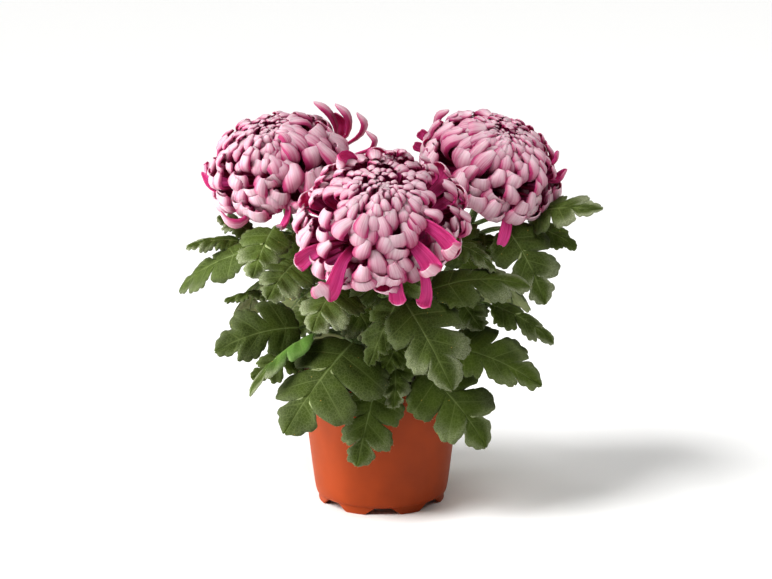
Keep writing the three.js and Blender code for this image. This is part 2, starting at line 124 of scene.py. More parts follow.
class StageSettings(bpy.types.PropertyGroup):
    distance: length("Camera distance", "From the camera to the middle of the plant", 1500)
    key: brightness("Key light", "Strength of the soft light from above", 3)
    side: brightness("Side light", "Strength of the weaker light from the left", 0.4)
    low: brightness("Low light", "Power of the small light low on the left", 12.2, "POWER")
    fill: brightness("Fill light", "Power of the weak light from the right", 20, "POWER")
    air: brightness("Air", "Strength of the light from all round", 0.15)
    floor: paint("Floor", "Colour of the floor and the air above it", "#FFFFFE")


class PlantSettings(bpy.types.PropertyGroup):
    pot: PointerProperty(type=PotSettings)
    peat: PointerProperty(type=PeatSettings)
    leaf: PointerProperty(type=LeafSettings)
    bloom: PointerProperty(type=BloomSettings)
    stage: PointerProperty(type=StageSettings)


# ---------------------------------------------------------------- sums
def mix(a, b, t):
    return a + (b - a) * t


def held(t):
    """t kept between 0 and 1."""
    return min(1, max(0, t))


def smooth(t):
    """t kept between 0 and 1 and eased at both ends."""
    c = held(t)
    return c * c * (3 - 2 * c)


def spoke(turn):
    """The way out from the vertical axis, and the way round it, at an angle in radians."""
    out = Vector((math.cos(turn), math.sin(turn), 0))
    return out, Vector((-out.y, out.x, 0))


def jitter(draw, size):
    return draw.uniform(-size, size)


def curve(points, count):
    """count + 1 points along a centripetal Catmull-Rom curve through the given points."""
    points = [Vector(p) for p in points]
    whole = [2 * points[0] - points[1], *points, 2 * points[-1] - points[-2]]
    made = []
    for i in range(count + 1):
        place = i / count * (len(points) - 1)
        k = min(int(place), len(points) - 2)
        p0, p1, p2, p3 = whole[k:k + 4]
        t = place - k
        d0, d1, d2 = [max((b - a).length, 1e-4) ** 0.5 for a, b in ((p0, p1), (p1, p2), (p2, p3))]
        out = ((p1 - p0) / d0 - (p2 - p0) / (d0 + d1) + (p2 - p1) / d1) * d1
        back = ((p2 - p1) / d1 - (p3 - p1) / (d1 + d2) + (p3 - p2) / d2) * d1
        c2 = -3 * p1 + 3 * p2 - 2 * out - back
        c3 = 2 * p1 - 2 * p2 + out + back
        made.append(p1 + out * t + c2 * t * t + c3 * t ** 3)
    return made


def along(path, share):
    """The point and the direction of a path of evenly counted points at a share of its length."""
    place = held(share) * (len(path) - 1)
    k = min(int(place), len(path) - 2)
    before, after = path[max(k - 1, 0)], path[min(k + 2, len(path) - 1)]
    way = (path[k + 1] - before).lerp(after - path[k], place - k)
    return path[k].lerp(path[k + 1], place - k), way.normalized()


# ---------------------------------------------------------------- bmesh steps
def start_piece():
    """A new bmesh with a UV map and the float layers that the materials read."""
    bm = bmesh.new()
    bm.loops.layers.uv.new("UVMap")
    for name in ("tone", "vein", "down", "fresh"):
        bm.verts.layers.float.new(name)
    return bm


def sheet(bm, columns, rows, shape):
    """A grid, each vertex of which shape() moves. It is given the place across, -1 to 1, and along, 0 to 1,
    and returns the new place and the values of the float layers."""
    made = bmesh.ops.create_grid(bm, x_segments=columns, y_segments=rows, size=1)["verts"]
    uv = bm.loops.layers.uv["UVMap"]
    for face in {f for v in made for f in v.link_faces}:
        face.smooth = True
        for loop in face.loops:
            loop[uv].uv = (loop.vert.co.x / 2 + 0.5, loop.vert.co.y / 2 + 0.5)
    for v in made:
        place, values = shape(v.co.x, v.co.y / 2 + 0.5)
        v.co = place
        for name, value in values.items():
            v[bm.verts.layers.float[name]] = value
    return made


def tube(bm, path, radius, sides, side):
    """A grid wrapped round a path and closed to a pole at both ends, with its seam towards side.
    radius(share, angle) may draw ribs on it."""
    rings = len(path) - 1
    total = rings + 2  # one ring more at each end, drawn together into the pole

    def shape(across, share):
        ring = round(share * total)
        at = min(max(ring - 1, 0), rings) / rings
        p, way = along(path, at)
        x = (side - way * side.dot(way)).normalized()
        y = way.cross(x)
        turn = (across + 1) * math.pi
        r = 0 if ring in (0, total) else radius(at, turn)
        return p + (x * math.cos(turn) + y * math.sin(turn)) * r, {}

    made = sheet(bm, sides, total, shape)
    bmesh.ops.remove_doubles(bm, verts=made, dist=1e-4)


def turned(bm, profile, steps, matrix=None, **values):
    """A profile of (radius, height) points turned full circle, with its faces outwards. values go to the
    float layers, and matrix moves the shell to its place."""
    verts = [bm.verts.new((r, 0, z)) for r, z in profile]
    edges = [bm.edges.new(pair) for pair in zip(verts, verts[1:])]
    before = set(bm.verts)
    bmesh.ops.spin(bm, geom=verts + edges, cent=(0, 0, 0), axis=(0, 0, 1), angle=math.tau, steps=steps,
                   use_merge=True)
    shell = verts + [v for v in bm.verts if v not in before]
    bmesh.ops.remove_doubles(bm, verts=shell, dist=1e-3)
    shell = [v for v in shell if v.is_valid]
    faces = list({f for v in shell for f in v.link_faces})
    bmesh.ops.recalc_face_normals(bm, faces=faces)
    for face in faces:
        face.smooth = True
    for v in shell:
        for name, value in values.items():
            v[bm.verts.layers.float[name]] = value
    if matrix:
        bmesh.ops.transform(bm, matrix=matrix, verts=shell)
    return shell


def finish_piece(bm, name, node, materials):
    """The bmesh as an object in metres at the origin, standing for a CAD node."""
    bmesh.ops.scale(bm, vec=(MM, MM, MM), verts=bm.verts)
    mesh = bpy.data.meshes.new(name)
    bm.to_mesh(mesh)
    bm.free()
    for material in materials:
        mesh.materials.append(material)
    piece = bpy.data.objects.new(name, mesh)
    bpy.context.scene.collection.objects.link(piece)
    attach(piece, "root")
    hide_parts(node)
    return piece


# ---------------------------------------------------------------- materials
# A Mix node takes the colours that it mixes at its inputs 6 and 7, and gives the result at its output 2.
COLOURS = {"output": 2, "data_type": "RGBA"}


def shaded(rgb, share):
    """A linear colour made darker or lighter by a share."""
    return [min(1, c * share) for c in rgb]


def add(tree, kind, sockets=None, output=0, **settings):
    """A shader node with its settings, and its sockets set to values or linked from other nodes' outputs.
    What comes back is the one of its own outputs that the next node reads."""
    made = tree.nodes.new("ShaderNode" + kind)
    for name, value in settings.items():
        setattr(made, name, value)
    for name, value in (sockets or {}).items():
        socket = made.inputs[name]
        if isinstance(value, bpy.types.NodeSocket):
            tree.links.new(value, socket)
        else:
            socket.default_value = (*value, 1) if socket.type == "RGBA" else value
    return made.outputs[output] if made.outputs else None


def start_material(name, kind="TexCoord", output="Object", **settings):
    """A new material, its node tree, and the coordinates that its patterns follow."""
    material = bpy.data.materials.new(name)
    material.use_nodes = True
    tree = material.node_tree
    tree.nodes.clear()
    return material, tree, add(tree, kind, output=output, **settings)


def finish_material(material, tint, height, strength, depth, **surface):
    """Joins a colour and a relief, depth millimetres deep, to a Principled shader. surface holds its plain
    values."""
    tree = material.node_tree
    bump = add(tree, "Bump", {"Height": height, "Strength": strength, "Distance": depth * MM})
    plain = {socket.replace("_", " "): value for socket, value in surface.items()}
    shader = add(tree, "BsdfPrincipled", {"Base Color": tint, "Normal": bump, **plain})
    add(tree, "OutputMaterial", {"Surface": shader})
    return material


def moulded_polypropylene(plastic):
    """Moulded polypropylene: a soft sheen over a faintly grained skin, and clouds of uneven pigment."""
    material, tree, place = start_material("Polypropylene, injection moulded")
    # Clouds about 25 mm across, and a grain of about 0.5 mm, drawn coarser than the real 0.1 mm to show.
    clouds = add(tree, "TexNoise", {"Vector": place, "Scale": 40, "Detail": 3})
    grain = add(tree, "TexNoise", {"Vector": place, "Scale": 2000, "Detail": 2})
    share = add(tree, "MapRange", {"Value": clouds, "From Min": 0.35, "From Max": 0.65})
    tint = add(tree, "Mix", {0: share, 6: shaded(plastic, 0.86), 7: plastic}, **COLOURS)
    return finish_material(material, tint, grain, strength=0.12, depth=0.2, Roughness=0.5, IOR=1.49,
                           Specular_IOR_Level=0.25)


def moist_peat(damp, dry):
    """Sphagnum peat: matt, dark and damp in the hollows, paler and fibrous where it has dried."""
    material, tree, place = start_material("Sphagnum peat, loose")
    # Lumps of about 5 mm with fibres of about 1 mm in them.
    lumps = add(tree, "TexNoise", {"Vector": place, "Scale": 200, "Detail": 6, "Roughness": 0.7})
    fibres = add(tree, "TexNoise", {"Vector": place, "Scale": 1000, "Detail": 4, "Distortion": 2})
    share = add(tree, "MapRange", {"Value": lumps, "From Min": 0.42, "From Max": 0.68})
    tint = add(tree, "Mix", {0: share, 6: damp, 7: dry}, **COLOURS)
    high = add(tree, "Math", {0: lumps, 1: fibres}, operation="ADD")
    return finish_material(material, tint, high, strength=0.9, depth=1.5, Roughness=0.95, IOR=1.45)


def leaf_face(name, plain, leaf, downy, roughness):
    """A leaf blade: waxy green with pale veins, a fine net of small veins, and short grey down that catches
    the light towards the tips and edges. downy is the down that the whole face has."""
    material, tree, place = start_material(name)
    vein, down, fresh, tone = [add(tree, "Attribute", output="Fac", attribute_name=layer)
                               for layer in ("vein", "down", "fresh", "tone")]
    # Uneven green over about 14 mm, a net of small veins 2.5 mm apart, and hairs drawn 0.5 mm apart.
    clouds = add(tree, "TexNoise", {"Vector": place, "Scale": 70, "Detail": 4})
    net = add(tree, "TexVoronoi", {"Vector": place, "Scale": 400}, feature="DISTANCE_TO_EDGE")
    hairs = add(tree, "TexNoise", {"Vector": place, "Scale": 1900, "Detail": 3, "Roughness": 0.7})
    light = add(tree, "Math", {0: clouds, 1: tone}, operation="MULTIPLY")
    share = add(tree, "MapRange", {"Value": light, "From Min": 0.1, "From Max": 0.75})
    green = add(tree, "Mix", {0: share, 6: shaded(plain, 0.55), 7: shaded(plain, 1.45)}, **COLOURS)
    # The young leaf's green: partly its own, partly painted light coming through the blade.
    young = add(tree, "Mix", {0: fresh, 6: green, 7: leaf.fresh}, **COLOURS)
    line = add(tree, "MapRange", {"Value": net, "From Max": 0.12, "To Min": 0.16, "To Max": 0})
    veins = add(tree, "Math", {0: vein, 1: line}, operation="MAXIMUM")
    veined = add(tree, "Mix", {0: veins, 6: young, 7: leaf.vein}, **COLOURS)
    strand = add(tree, "MapRange", {"Value": hairs, "From Min": 0.36, "From Max": 0.68})
    amount = add(tree, "Math", {0: down, 1: downy}, operation="ADD")
    cover = add(tree, "Math", {0: strand, 1: amount}, operation="MULTIPLY", use_clamp=True)
    grey = add(tree, "Mix", {0: cover, 6: veined, 7: leaf.down}, **COLOURS)
    # Ochre specks of 0.8 mm, about 8 mm apart.
    specks = add(tree, "TexVoronoi", {"Vector": place, "Scale": 120})
    speck = add(tree, "Math", {0: specks, 1: 0.045}, operation="LESS_THAN")
    tint = add(tree, "Mix", {0: speck, 6: grey, 7: leaf.speck}, **COLOURS)
    ridge = add(tree, "Math", {0: line, 1: -2, 2: hairs}, operation="MULTIPLY_ADD")
    return finish_material(material, tint, ridge, strength=0.35, depth=0.5, Roughness=roughness, IOR=1.42,
                           Specular_IOR_Level=0.28, Sheen_Weight=0.02, Sheen_Roughness=0.4)


def leaf_hair(down):
    """The short hairs of stems and leaf margins: pale, matt and slightly uneven."""
    material, tree, place = start_material("Chrysanthemum hair, dry")
    # Paler and darker hairs over about 11 mm.
    clouds = add(tree, "TexNoise", {"Vector": place, "Scale": 90})
    tint = add(tree, "Mix", {0: clouds, 6: down, 7: shaded(down, 1.4)}, **COLOURS)
    return finish_material(material, tint, clouds, strength=0.1, depth=0.1, Roughness=0.6, IOR=1.45)


def green_stem(leaf):
    """A chrysanthemum stem: an uneven green, a little browner than the leaves, under thin grey down."""
    material, tree, place = start_material("Chrysanthemum stem, ribbed")
    # Two greens over about 11 mm, and hairs drawn 0.5 mm apart.
    clouds = add(tree, "TexNoise", {"Vector": place, "Scale": 90, "Detail": 4})
    hairs = add(tree, "TexNoise", {"Vector": place, "Scale": 1900, "Detail": 3})
    share = add(tree, "MapRange", {"Value": clouds, "From Min": 0.35, "From Max": 0.65})
    green = add(tree, "Mix", {0: share, 6: leaf.stem, 7: leaf.stem_light}, **COLOURS)
    strand = add(tree, "MapRange", {"Value": hairs, "From Min": 0.5, "From Max": 0.75, "To Max": 0.6})
    tint = add(tree, "Mix", {0: strand, 6: green, 7: leaf.down}, **COLOURS)
    return finish_material(material, tint, hairs, strength=0.4, depth=0.4, Roughness=0.6, IOR=1.42)


def floret_face(name, plain, deep, foot, edge, streak):
    """A floret's face: satiny, with light passing into it and fine lengthwise streaks. foot, edge and streak
    say how much of the deep colour its foot, its edges and its streaks have. The streaks are the floret's own
    colour. The deeper foot and edges are partly its own colour and partly painted shade."""
    material, tree, uv = start_material(name, "UVMap", 0, uv_map="UVMap")
    tone = add(tree, "Attribute", output="Fac", attribute_name="tone")
    shift = add(tree, "Math", {0: tone, 1: 40}, operation="MULTIPLY")  # other streaks on each floret
    # Streaks 0.8 mm apart across a floret 11 mm wide, running its whole length.
    stretched = add(tree, "Mapping", {"Vector": uv, "Scale": (14, 1.3, 1)})
    streaks = add(tree, "TexNoise", {"Vector": stretched, "W": shift, "Scale": 1, "Detail": 3,
                                     "Roughness": 0.6}, noise_dimensions="4D")
    ridges = add(tree, "TexNoise", {"Vector": stretched, "W": shift, "Scale": 0.45, "Detail": 1},
                 noise_dimensions="4D")
    across, along_it = add(tree, "SeparateXYZ", {0: uv}).node.outputs[:2]
    off = add(tree, "Math", {0: across, 1: 0.5}, operation="SUBTRACT")
    out = add(tree, "Math", {0: off}, operation="ABSOLUTE")
    # Deeper towards the edges and the foot: partly the floret's own colour, partly painted shade where its
    # rolled sides and its foot turn from the light.
    margin = add(tree, "MapRange", {"Value": out, "From Min": 0.16, "From Max": 0.52, "To Max": edge},
                 interpolation_type="SMOOTHSTEP")
    low = add(tree, "MapRange", {"Value": along_it, "From Min": 0.8, "From Max": 0.25, "To Max": foot},
              interpolation_type="SMOOTHSTEP")
    line = add(tree, "MapRange", {"Value": streaks, "From Min": 0.42, "From Max": 0.72, "To Max": streak})
    both = add(tree, "Math", {0: margin, 1: low}, operation="ADD")
    share = add(tree, "Math", {0: both, 1: line}, operation="ADD", use_clamp=True)
    paler = add(tree, "Mix", {0: tone, 6: plain, 7: shaded(plain, 1.1)}, **COLOURS)
    tint = add(tree, "Mix", {0: share, 6: paler, 7: deep}, **COLOURS)
    height = add(tree, "Math", {0: streaks, 1: 0.4, 2: ridges}, operation="MULTIPLY_ADD")
    return finish_material(material, tint, height, strength=0.4, depth=1, Roughness=0.5, IOR=1.4,
                           Specular_IOR_Level=0.3, Sheen_Weight=0.05, Sheen_Roughness=0.35,
                           Subsurface_Weight=0.3, Subsurface_Scale=4 * MM,
                           Subsurface_Radius=(1.0, 0.35, 0.55))


def plain_floor(floor):
    """A matt painted sheet, so plain that only the soft shadow shows on it."""
    material, tree, place = start_material("Painted board, matt")
    # The roller's tooth in the paint, about 3 mm.
    tooth = add(tree, "TexNoise", {"Vector": place, "Scale": 300})
    tint = add(tree, "Mix", {0: tooth, 6: shaded(floor, 0.99), 7: floor}, **COLOURS)
    return finish_material(material, tint, tooth, strength=0.02, depth=0.2, Roughness=0.8)


# ---------------------------------------------------------------- pot
BAND = 12  # height of the band round the mouth
SPREAD = 0.9  # how far the wall stands out from the foot ring
NOTCH = {"wide": 28, "narrow": 13, "height": 5.4, "turn": 1.5}  # mm, and degrees from the front to a notch
NOTCH_COLUMNS = 36  # of faces round the pot, for each notch
FLOOR = {"radius": 2.2, "top": 6.7, "thickness": 1.5}  # its radius is this much less than the foot ring's
DRAIN = {"radius": 4.5, "circle": 33}  # a drain hole, and the circle that they lie on
CRISP = 35  # an edge that turns by more degrees than this stays crisp


class AddPot(bpy.types.Operator):
    """Adds the moulded pot with its rim band, notched foot ring and drained floor"""

    bl_idname = "mesh.add_nursery_pot"
    bl_label = "Pot"
    bl_options = {"REGISTER", "UNDO"}

    def execute(self, context):
        pot = context.scene.pot_plant.pot
        rim, top, foot = pot.rim_radius / MM, pot.height / MM, pot.foot_radius / MM
        wall, band = foot + SPREAD, top - BAND
        # The half section: the foot ring, the flare above it, the wall and the band on the outside, then the
        # rounded rim, and the inside down to the floor again.
        profile = [
            (foot - 2.6, 6), (foot - 2.6, 0.4), (foot - 2.3, 0), (foot - 0.4, 0), (foot, 0.4), (foot, 5.8),
            (foot + 0.2, 6.4), (wall + 0.3, 6.5), (wall + 0.8, 6.9), (wall + 1.5, 9.2), (wall + 2.2, 13.2),
            (wall + 3.0, 19), (rim - 3.9, band - 4), (rim - 3.5, band - 0.9), (rim - 3.2, band - 0.5),
            (rim - 1.0, band - 0.4), (rim - 0.6, band), (rim - 0.5, band + 1), (rim - 0.1, top - 1.4),
            (rim - 0.3, top - 0.5), (rim - 0.8, top), (rim - 1.6, top), (rim - 2.1, top - 0.6),
            (rim - 3.0, band + 2), (rim - 3.9, band - 0.2), (rim - 4.9, band - 1), (wall + 0.8, 13.2),
            (wall - 1.2, 8.2), (foot - 2.2, 6.8),
        ]
        bm = start_piece()
        shell = turned(bm, [*profile, profile[0]], NOTCH_COLUMNS * pot.notches)
        self.cut_notches([v for v in shell if v.co.z <= 0.5], pot.notches, foot)
        self.add_floor(bm, pot.drain_holes, foot - FLOOR["radius"])
        piece = finish_piece(bm, "pot_moulded", "pot", [moulded_polypropylene(pot.plastic)])
        piece.data.shade_smooth()
        piece.data.set_sharp_from_angle(angle=math.radians(CRISP))
        return {"FINISHED"}

    def cut_notches(self, underside, count, foot):
        """Lifts the underside of the foot ring where a notch is, wide at the table and narrow above."""
        step = math.tau / count
        slope = (NOTCH["wide"] - NOTCH["narrow"]) / 2
        for v in underside:
            turn = math.atan2(v.co.y, v.co.x) - math.radians(NOTCH["turn"] - 90)
            off = abs((turn + step / 2) % step - step / 2) * foot
            v.co.z += NOTCH["height"] * held((NOTCH["wide"] / 2 - off) / slope)

    def add_floor(self, bm, drain_holes, radius):
        """The floor: a disc with drain holes, filled flat and then given its thickness."""
        level = Vector((0, 0, FLOOR["top"]))
        rings = bmesh.ops.create_circle(bm, segments=84, radius=radius,
                                        matrix=Matrix.Translation(level))["verts"]
        for i in range(drain_holes):
            at = spoke(math.tau * i / drain_holes)[0] * DRAIN["circle"] + level
            rings += bmesh.ops.create_circle(bm, segments=20, radius=DRAIN["radius"],
                                             matrix=Matrix.Translation(at))["verts"]
        edges = list({e for v in rings for e in v.link_edges})
        disc = [f for f in bmesh.ops.triangle_fill(bm, edges=edges, use_beauty=True)["geom"]
                if isinstance(f, bmesh.types.BMFace)]
        grown = bmesh.ops.extrude_face_region(bm, geom=disc, use_keep_orig=True)["geom"]
        lower = [g for g in grown if isinstance(g, bmesh.types.BMVert)]
        bmesh.ops.translate(bm, vec=(0, 0, -FLOOR["thickness"]), verts=lower)
        whole = list({f for v in rings + lower for f in v.link_faces})
        bmesh.ops.recalc_face_normals(bm, faces=whole)


# ---------------------------------------------------------------- peat
PEAT_SIDE = [(0, 7.4), (47.2, 7.4), (50.0, 13.2)]  # its half section below the surface
PEAT_EDGE = (59.4, 2)  # its radius at the wall, and how far the edge of the surface sinks there
PEAT_RINGS = [59, 57, 54, *range(50, 5, -4), 3, 0]  # radii of the rings of its surface
CRUMBS = {"seed": 5, "within": 58, "clear": 6, "size": (0.5, 1.7)}  # they keep clear of the stems


class AddPeat(bpy.types.Operator):
    """Adds the peat with its uneven surface and loose crumbs"""

    bl_idname = "mesh.add_pot_peat"
    bl_label = "Peat"
    bl_options = {"REGISTER", "UNDO"}

    def execute(self, context):
        peat = context.scene.pot_plant.peat
        top = peat.top / MM
        edge, sunk = PEAT_EDGE
        bm = start_piece()
        shell = turned(bm, [*PEAT_SIDE, (edge, top - sunk), *[(r, top) for r in PEAT_RINGS]], steps=72)
        for v in shell:
            if v.co.z > top - 1:
                v.co.z += self.lump(v.co)
        draw = random.Random(CRUMBS["seed"])
        for _ in range(peat.crumbs):
            r, turn = CRUMBS["within"] * math.sqrt(draw.random()), draw.random() * math.tau
            at = Vector((r * math.cos(turn), r * math.sin(turn), top))
            if any((at.xy - Vector(stem["foot"])).length < CRUMBS["clear"] for stem in STEMS.values()):
                continue
            at.z += self.lump(at) + 0.1
            size = Vector([draw.uniform(*CRUMBS["size"]) for _ in range(3)])
            turned_by = Matrix.Rotation(draw.random() * math.tau, 4, "Z")
            tipped_by = Matrix.Rotation(draw.random() * 3, 4, "X")
            matrix = Matrix.Translation(at) @ turned_by @ tipped_by @ Matrix.Diagonal((*size, 1))
            bmesh.ops.create_icosphere(bm, subdivisions=1, radius=1, matrix=matrix)
        finish_piece(bm, "peat_surface", "soil", [moist_peat(peat.damp, peat.dry)])
        return {"FINISHED"}

    def lump(self, p):
        """How far the surface rises at a point: broad swells, and two sizes of clods."""
        broad = math.sin(p.x * 0.31 + 1) * math.cos(p.y * 0.27) + 0.5 * math.sin(p.x * 0.83 + p.y * 0.71)
        return 0.9 * broad + 0.8 * noise.noise(p * 0.25) + 0.4 * noise.noise(p * 0.7)


# ---------------------------------------------------------------- blooms
# A bloom's own frame: origin at the middle of its widest ring, +Z out through the eye. lean is how many
# degrees the axis tips to the right and to the front. radius, dome and under are the half axes of its skin
# sideways, towards the eye and towards the stem, and seat is how far below the widest ring the calyx ends. A
# side is in degrees round the axis. short is the side where the florets are shorter, and by what share; open
# the side where most of the outer florets end in open cups; broad the side with the longest, broadest
# florets, and how much so; and loose the share of florets that stay short low on the open side. Each gap is a
# side, its half width, and the directions off the axis between which few florets stand, so that those behind
# show.
BLOOMS = {
    "front": {
        "at": (2, -62, 227), "lean": (0, 36), "radius": 62, "dome": 46, "under": 28, "seat": 22, "seed": 17,
        "loose": 0.55, "broad": (-95, 0.2), "short": (-58, 0.2), "open": -85,
        "gaps": ((4, 21, 42, 77), (-34, 12, 54, 80), (-68, 9, 60, 84), (-96, 8, 64, 86), (-128, 9, 62, 84),
                 (-170, 15, 48, 80)),
    },
    "left": {
        "at": (-79, 30, 254), "lean": (-8, 22), "radius": 55, "dome": 39, "under": 21, "seat": 20, "seed": 23,
        "loose": 0.2, "broad": (-15, 1), "short": (-60, 0.08), "open": -70,
        "gaps": ((20, 22, 44, 74), (-120, 14, 66, 84), (-60, 14, 70, 86)),
    },
    "right": {
        "at": (84, 32, 253), "lean": (16, 24), "radius": 54, "dome": 39, "under": 20, "seat": 20, "seed": 37,
        "loose": 0.2, "broad": (-160, 0.8), "short": (-110, 0.05), "open": -60,
        "gaps": ((-70, 16, 62, 82), (-20, 14, 60, 84), (-150, 14, 66, 84)),
    },
}

# Florets that stand out of the round: how the tip ends, the width, the way across the floret, and the points
# of its midline.
STRAYS = {
    "front": [
        ("strap", 13, (1, 0, 0), (8, -84, 212), (11, -102, 198), (11, -103, 187), (12, -104, 180),
         (12, -107, 178)),
        ("strap", 12, (1, 0.5, 0), (20, -84, 212), (30, -100, 201), (32, -101, 186), (30, -101, 178),
         (28, -104, 176)),
        ("strap", 14, (1, 0, -1.7), (-24, -78, 220), (-39, -88, 217), (-51, -88, 212), (-60, -89, 205),
         (-62, -92, 206)),
        ("hood", 15, (0.57, 0.2, -0.34), (-14, -80, 218), (-25, -101, 213), (-31, -109, 202),
         (-35, -112, 191), (-40, -118, 188), (-46, -120, 196)),
        ("flap", 18, (0.33, -0.4, 0.68), (20, -78, 236), (31, -94, 235), (42, -101, 229), (50, -104, 221),
         (52, -110, 217), (47, -114, 222)),
        ("flap", 18, (0.72, -0.25, 0.43), (14, -82, 222), (22, -97, 221), (30, -103, 214), (36, -105, 206),
         (37, -111, 202), (31, -115, 207)),
        ("hood", 13, (0, 0.3, -1), (-14, -56, 266), (-20, -58, 275), (-26, -62, 279), (-31, -66, 276),
         (-29, -68, 270)),
        ("hood", 11, (-1, 0, 0), (-8, -54, 262), (-8, -54, 274), (-7, -58, 281), (-5, -65, 283),
         (-4, -70, 278)),
        ("hood", 7, (-1, 0.1, 0), (5, -54, 264), (5, -54, 275), (6, -58, 282), (7, -64, 282)),
        ("hood", 7, (-1, -0.1, 0), (12, -54, 264), (13, -54, 275), (15, -58, 283), (16, -64, 282)),
        ("hood", 6, (-1, 0, 0), (-1, -56, 264), (-1, -58, 274), (0, -62, 279), (1, -68, 277)),
    ],
    "left": [
        ("claw", 14, (0.25, 1, 0), (-58, 38, 264), (-35, 48, 280), (-37, 48, 293), (-44, 48, 302),
         (-53, 48, 306)),
        ("claw", 14, (0.25, 1, 0), (-54, 36, 262), (-27, 42, 279), (-24, 42, 291), (-27, 42, 299),
         (-36, 42, 305)),
        ("claw", 13, (0.2, 1, 0), (-50, 34, 260), (-26, 36, 274), (-15, 36, 282), (-12, 36, 291),
         (-19, 36, 299)),
        ("claw", 12, (0.15, 1, 0), (-50, 30, 256), (-18, 30, 267), (-7, 29, 271), (-4, 28, 279),
         (-12, 27, 286)),
        ("claw", 12, (0, -1, 1), (-90, 10, 244), (-95, 0, 236), (-99, -9, 226), (-107, -13, 219),
         (-116, -13, 220), (-123, -12, 230)),
        ("claw", 8, (-0.9, 0, -1), (-104, 20, 244), (-115, 12, 240), (-128, 10, 245), (-138, 12, 256)),
        ("claw", 11, (0.6, -0.8, 0.4), (-70, 4, 246), (-70, -10, 236), (-70, -15, 226), (-75, -17, 217),
         (-80, -18, 219)),
        ("hood", 12, (-1, 0.4, 0), (-54, 44, 262), (-34, 52, 276), (-32, 56, 288), (-38, 54, 296)),
    ],
    "right": [
        ("claw", 14, (0.2, -1, 0), (62, 44, 266), (43, 52, 281), (44, 52, 295), (53, 52, 299)),
        ("hood", 11, (-0.36, 0.53, -0.71), (62, 38, 262), (41, 42, 274), (34, 42, 280), (30, 42, 284)),
        ("hood", 10, (-0.36, 0.53, -0.71), (62, 34, 256), (39, 32, 268), (32, 32, 272), (25, 32, 275)),
        ("claw", 14, (-0.2, 1, 0.1), (108, 30, 244), (127, 26, 246), (137, 26, 247), (144, 26, 256)),
        ("strap", 10, (1, 0.3, 0.2), (94, 8, 240), (96, -8, 231), (94, -12, 215), (90, -14, 203)),
        ("hood", 10, (0, 1, 0), (100, 36, 260), (127, 28, 257), (135, 28, 262), (137, 28, 270)),
    ],
}
# How a stray is rolled and how its tip ends: half the trough's opening in degrees, the share of the width
# where the rounding of the tip begins, the share at the very end, and how far along it the rounding begins.
TIPS = {
    "strap": (58, 0.9, 0.45, 0.88),
    "flap": (36, 0.95, 0.5, 0.86),
    "hood": (48, 1, 0.3, 0.84),
    "claw": (62, 0.8, 0.04, 0.66),
}


def bloom_frame(b):
    side, fore = [math.radians(a) for a in b["lean"]]
    axis = Vector((math.sin(side), -math.sin(fore), math.cos(side) * math.cos(fore))).normalized()
    x = (Vector((1, 0, 0)) - axis * axis.x).normalized()
    return Matrix.Translation(b["at"]) @ Matrix((x, axis.cross(x), axis)).transposed().to_4x4()


def skin(b, angle, share=1):
    """Distance from a bloom's origin to its skin, in the direction that lies angle degrees off its axis."""
    a = math.radians(angle)
    return share / math.hypot(math.sin(a) / b["radius"], math.cos(a) / b["dome" if angle < 90 else "under"])


RECEPTACLE = 10  # radius of what the florets grow from
SINK = 6  # how far its middle lies below the bloom's widest ring
CORE = 0.5  # the heart that hides the florets' feet, as a share of the bloom's skin
GOLDEN = 137.508  # degrees round the axis from one floret of the spiral to the next
STEPS = 30  # in a floret's midline
BURIED = 12  # steps of it that may be left out where the heart hides them


def floret_line(b, f):
    """A floret's midline in the plane through the axis, as (radius, height). It runs out from the receptacle,
    goes round a bend of its own radius and comes back towards the eye."""
    out = math.radians(min(f["shoulder"], 80))
    heading, turn = math.radians(f["shoulder"] + f["rise"]), math.radians(90 + f["rise"] + f["hook"])
    r, z = RECEPTACLE * math.sin(out), RECEPTACLE * math.cos(out) - SINK
    run = skin(b, f["shoulder"]) * f["reach"] - f["bend"] - r * math.sin(heading) - z * math.cos(heading)
    bend = f["bend"] * turn
    step = (run + bend + f["tip"]) / STEPS
    line = [(r, z)]
    for i in range(STEPS):
        gone = (i + 0.5) * step
        round_it = held((gone - run) / bend)
        # A tenth of the turning is spread along the run, so that no floret is straight.
        now = heading - turn * mix(0.1 * min(1, gone / run), 1, mix(round_it, smooth(round_it), 0.5))
        r, z = r + math.sin(now) * step, z + math.cos(now) * step
        line.append((r, z))
    return line


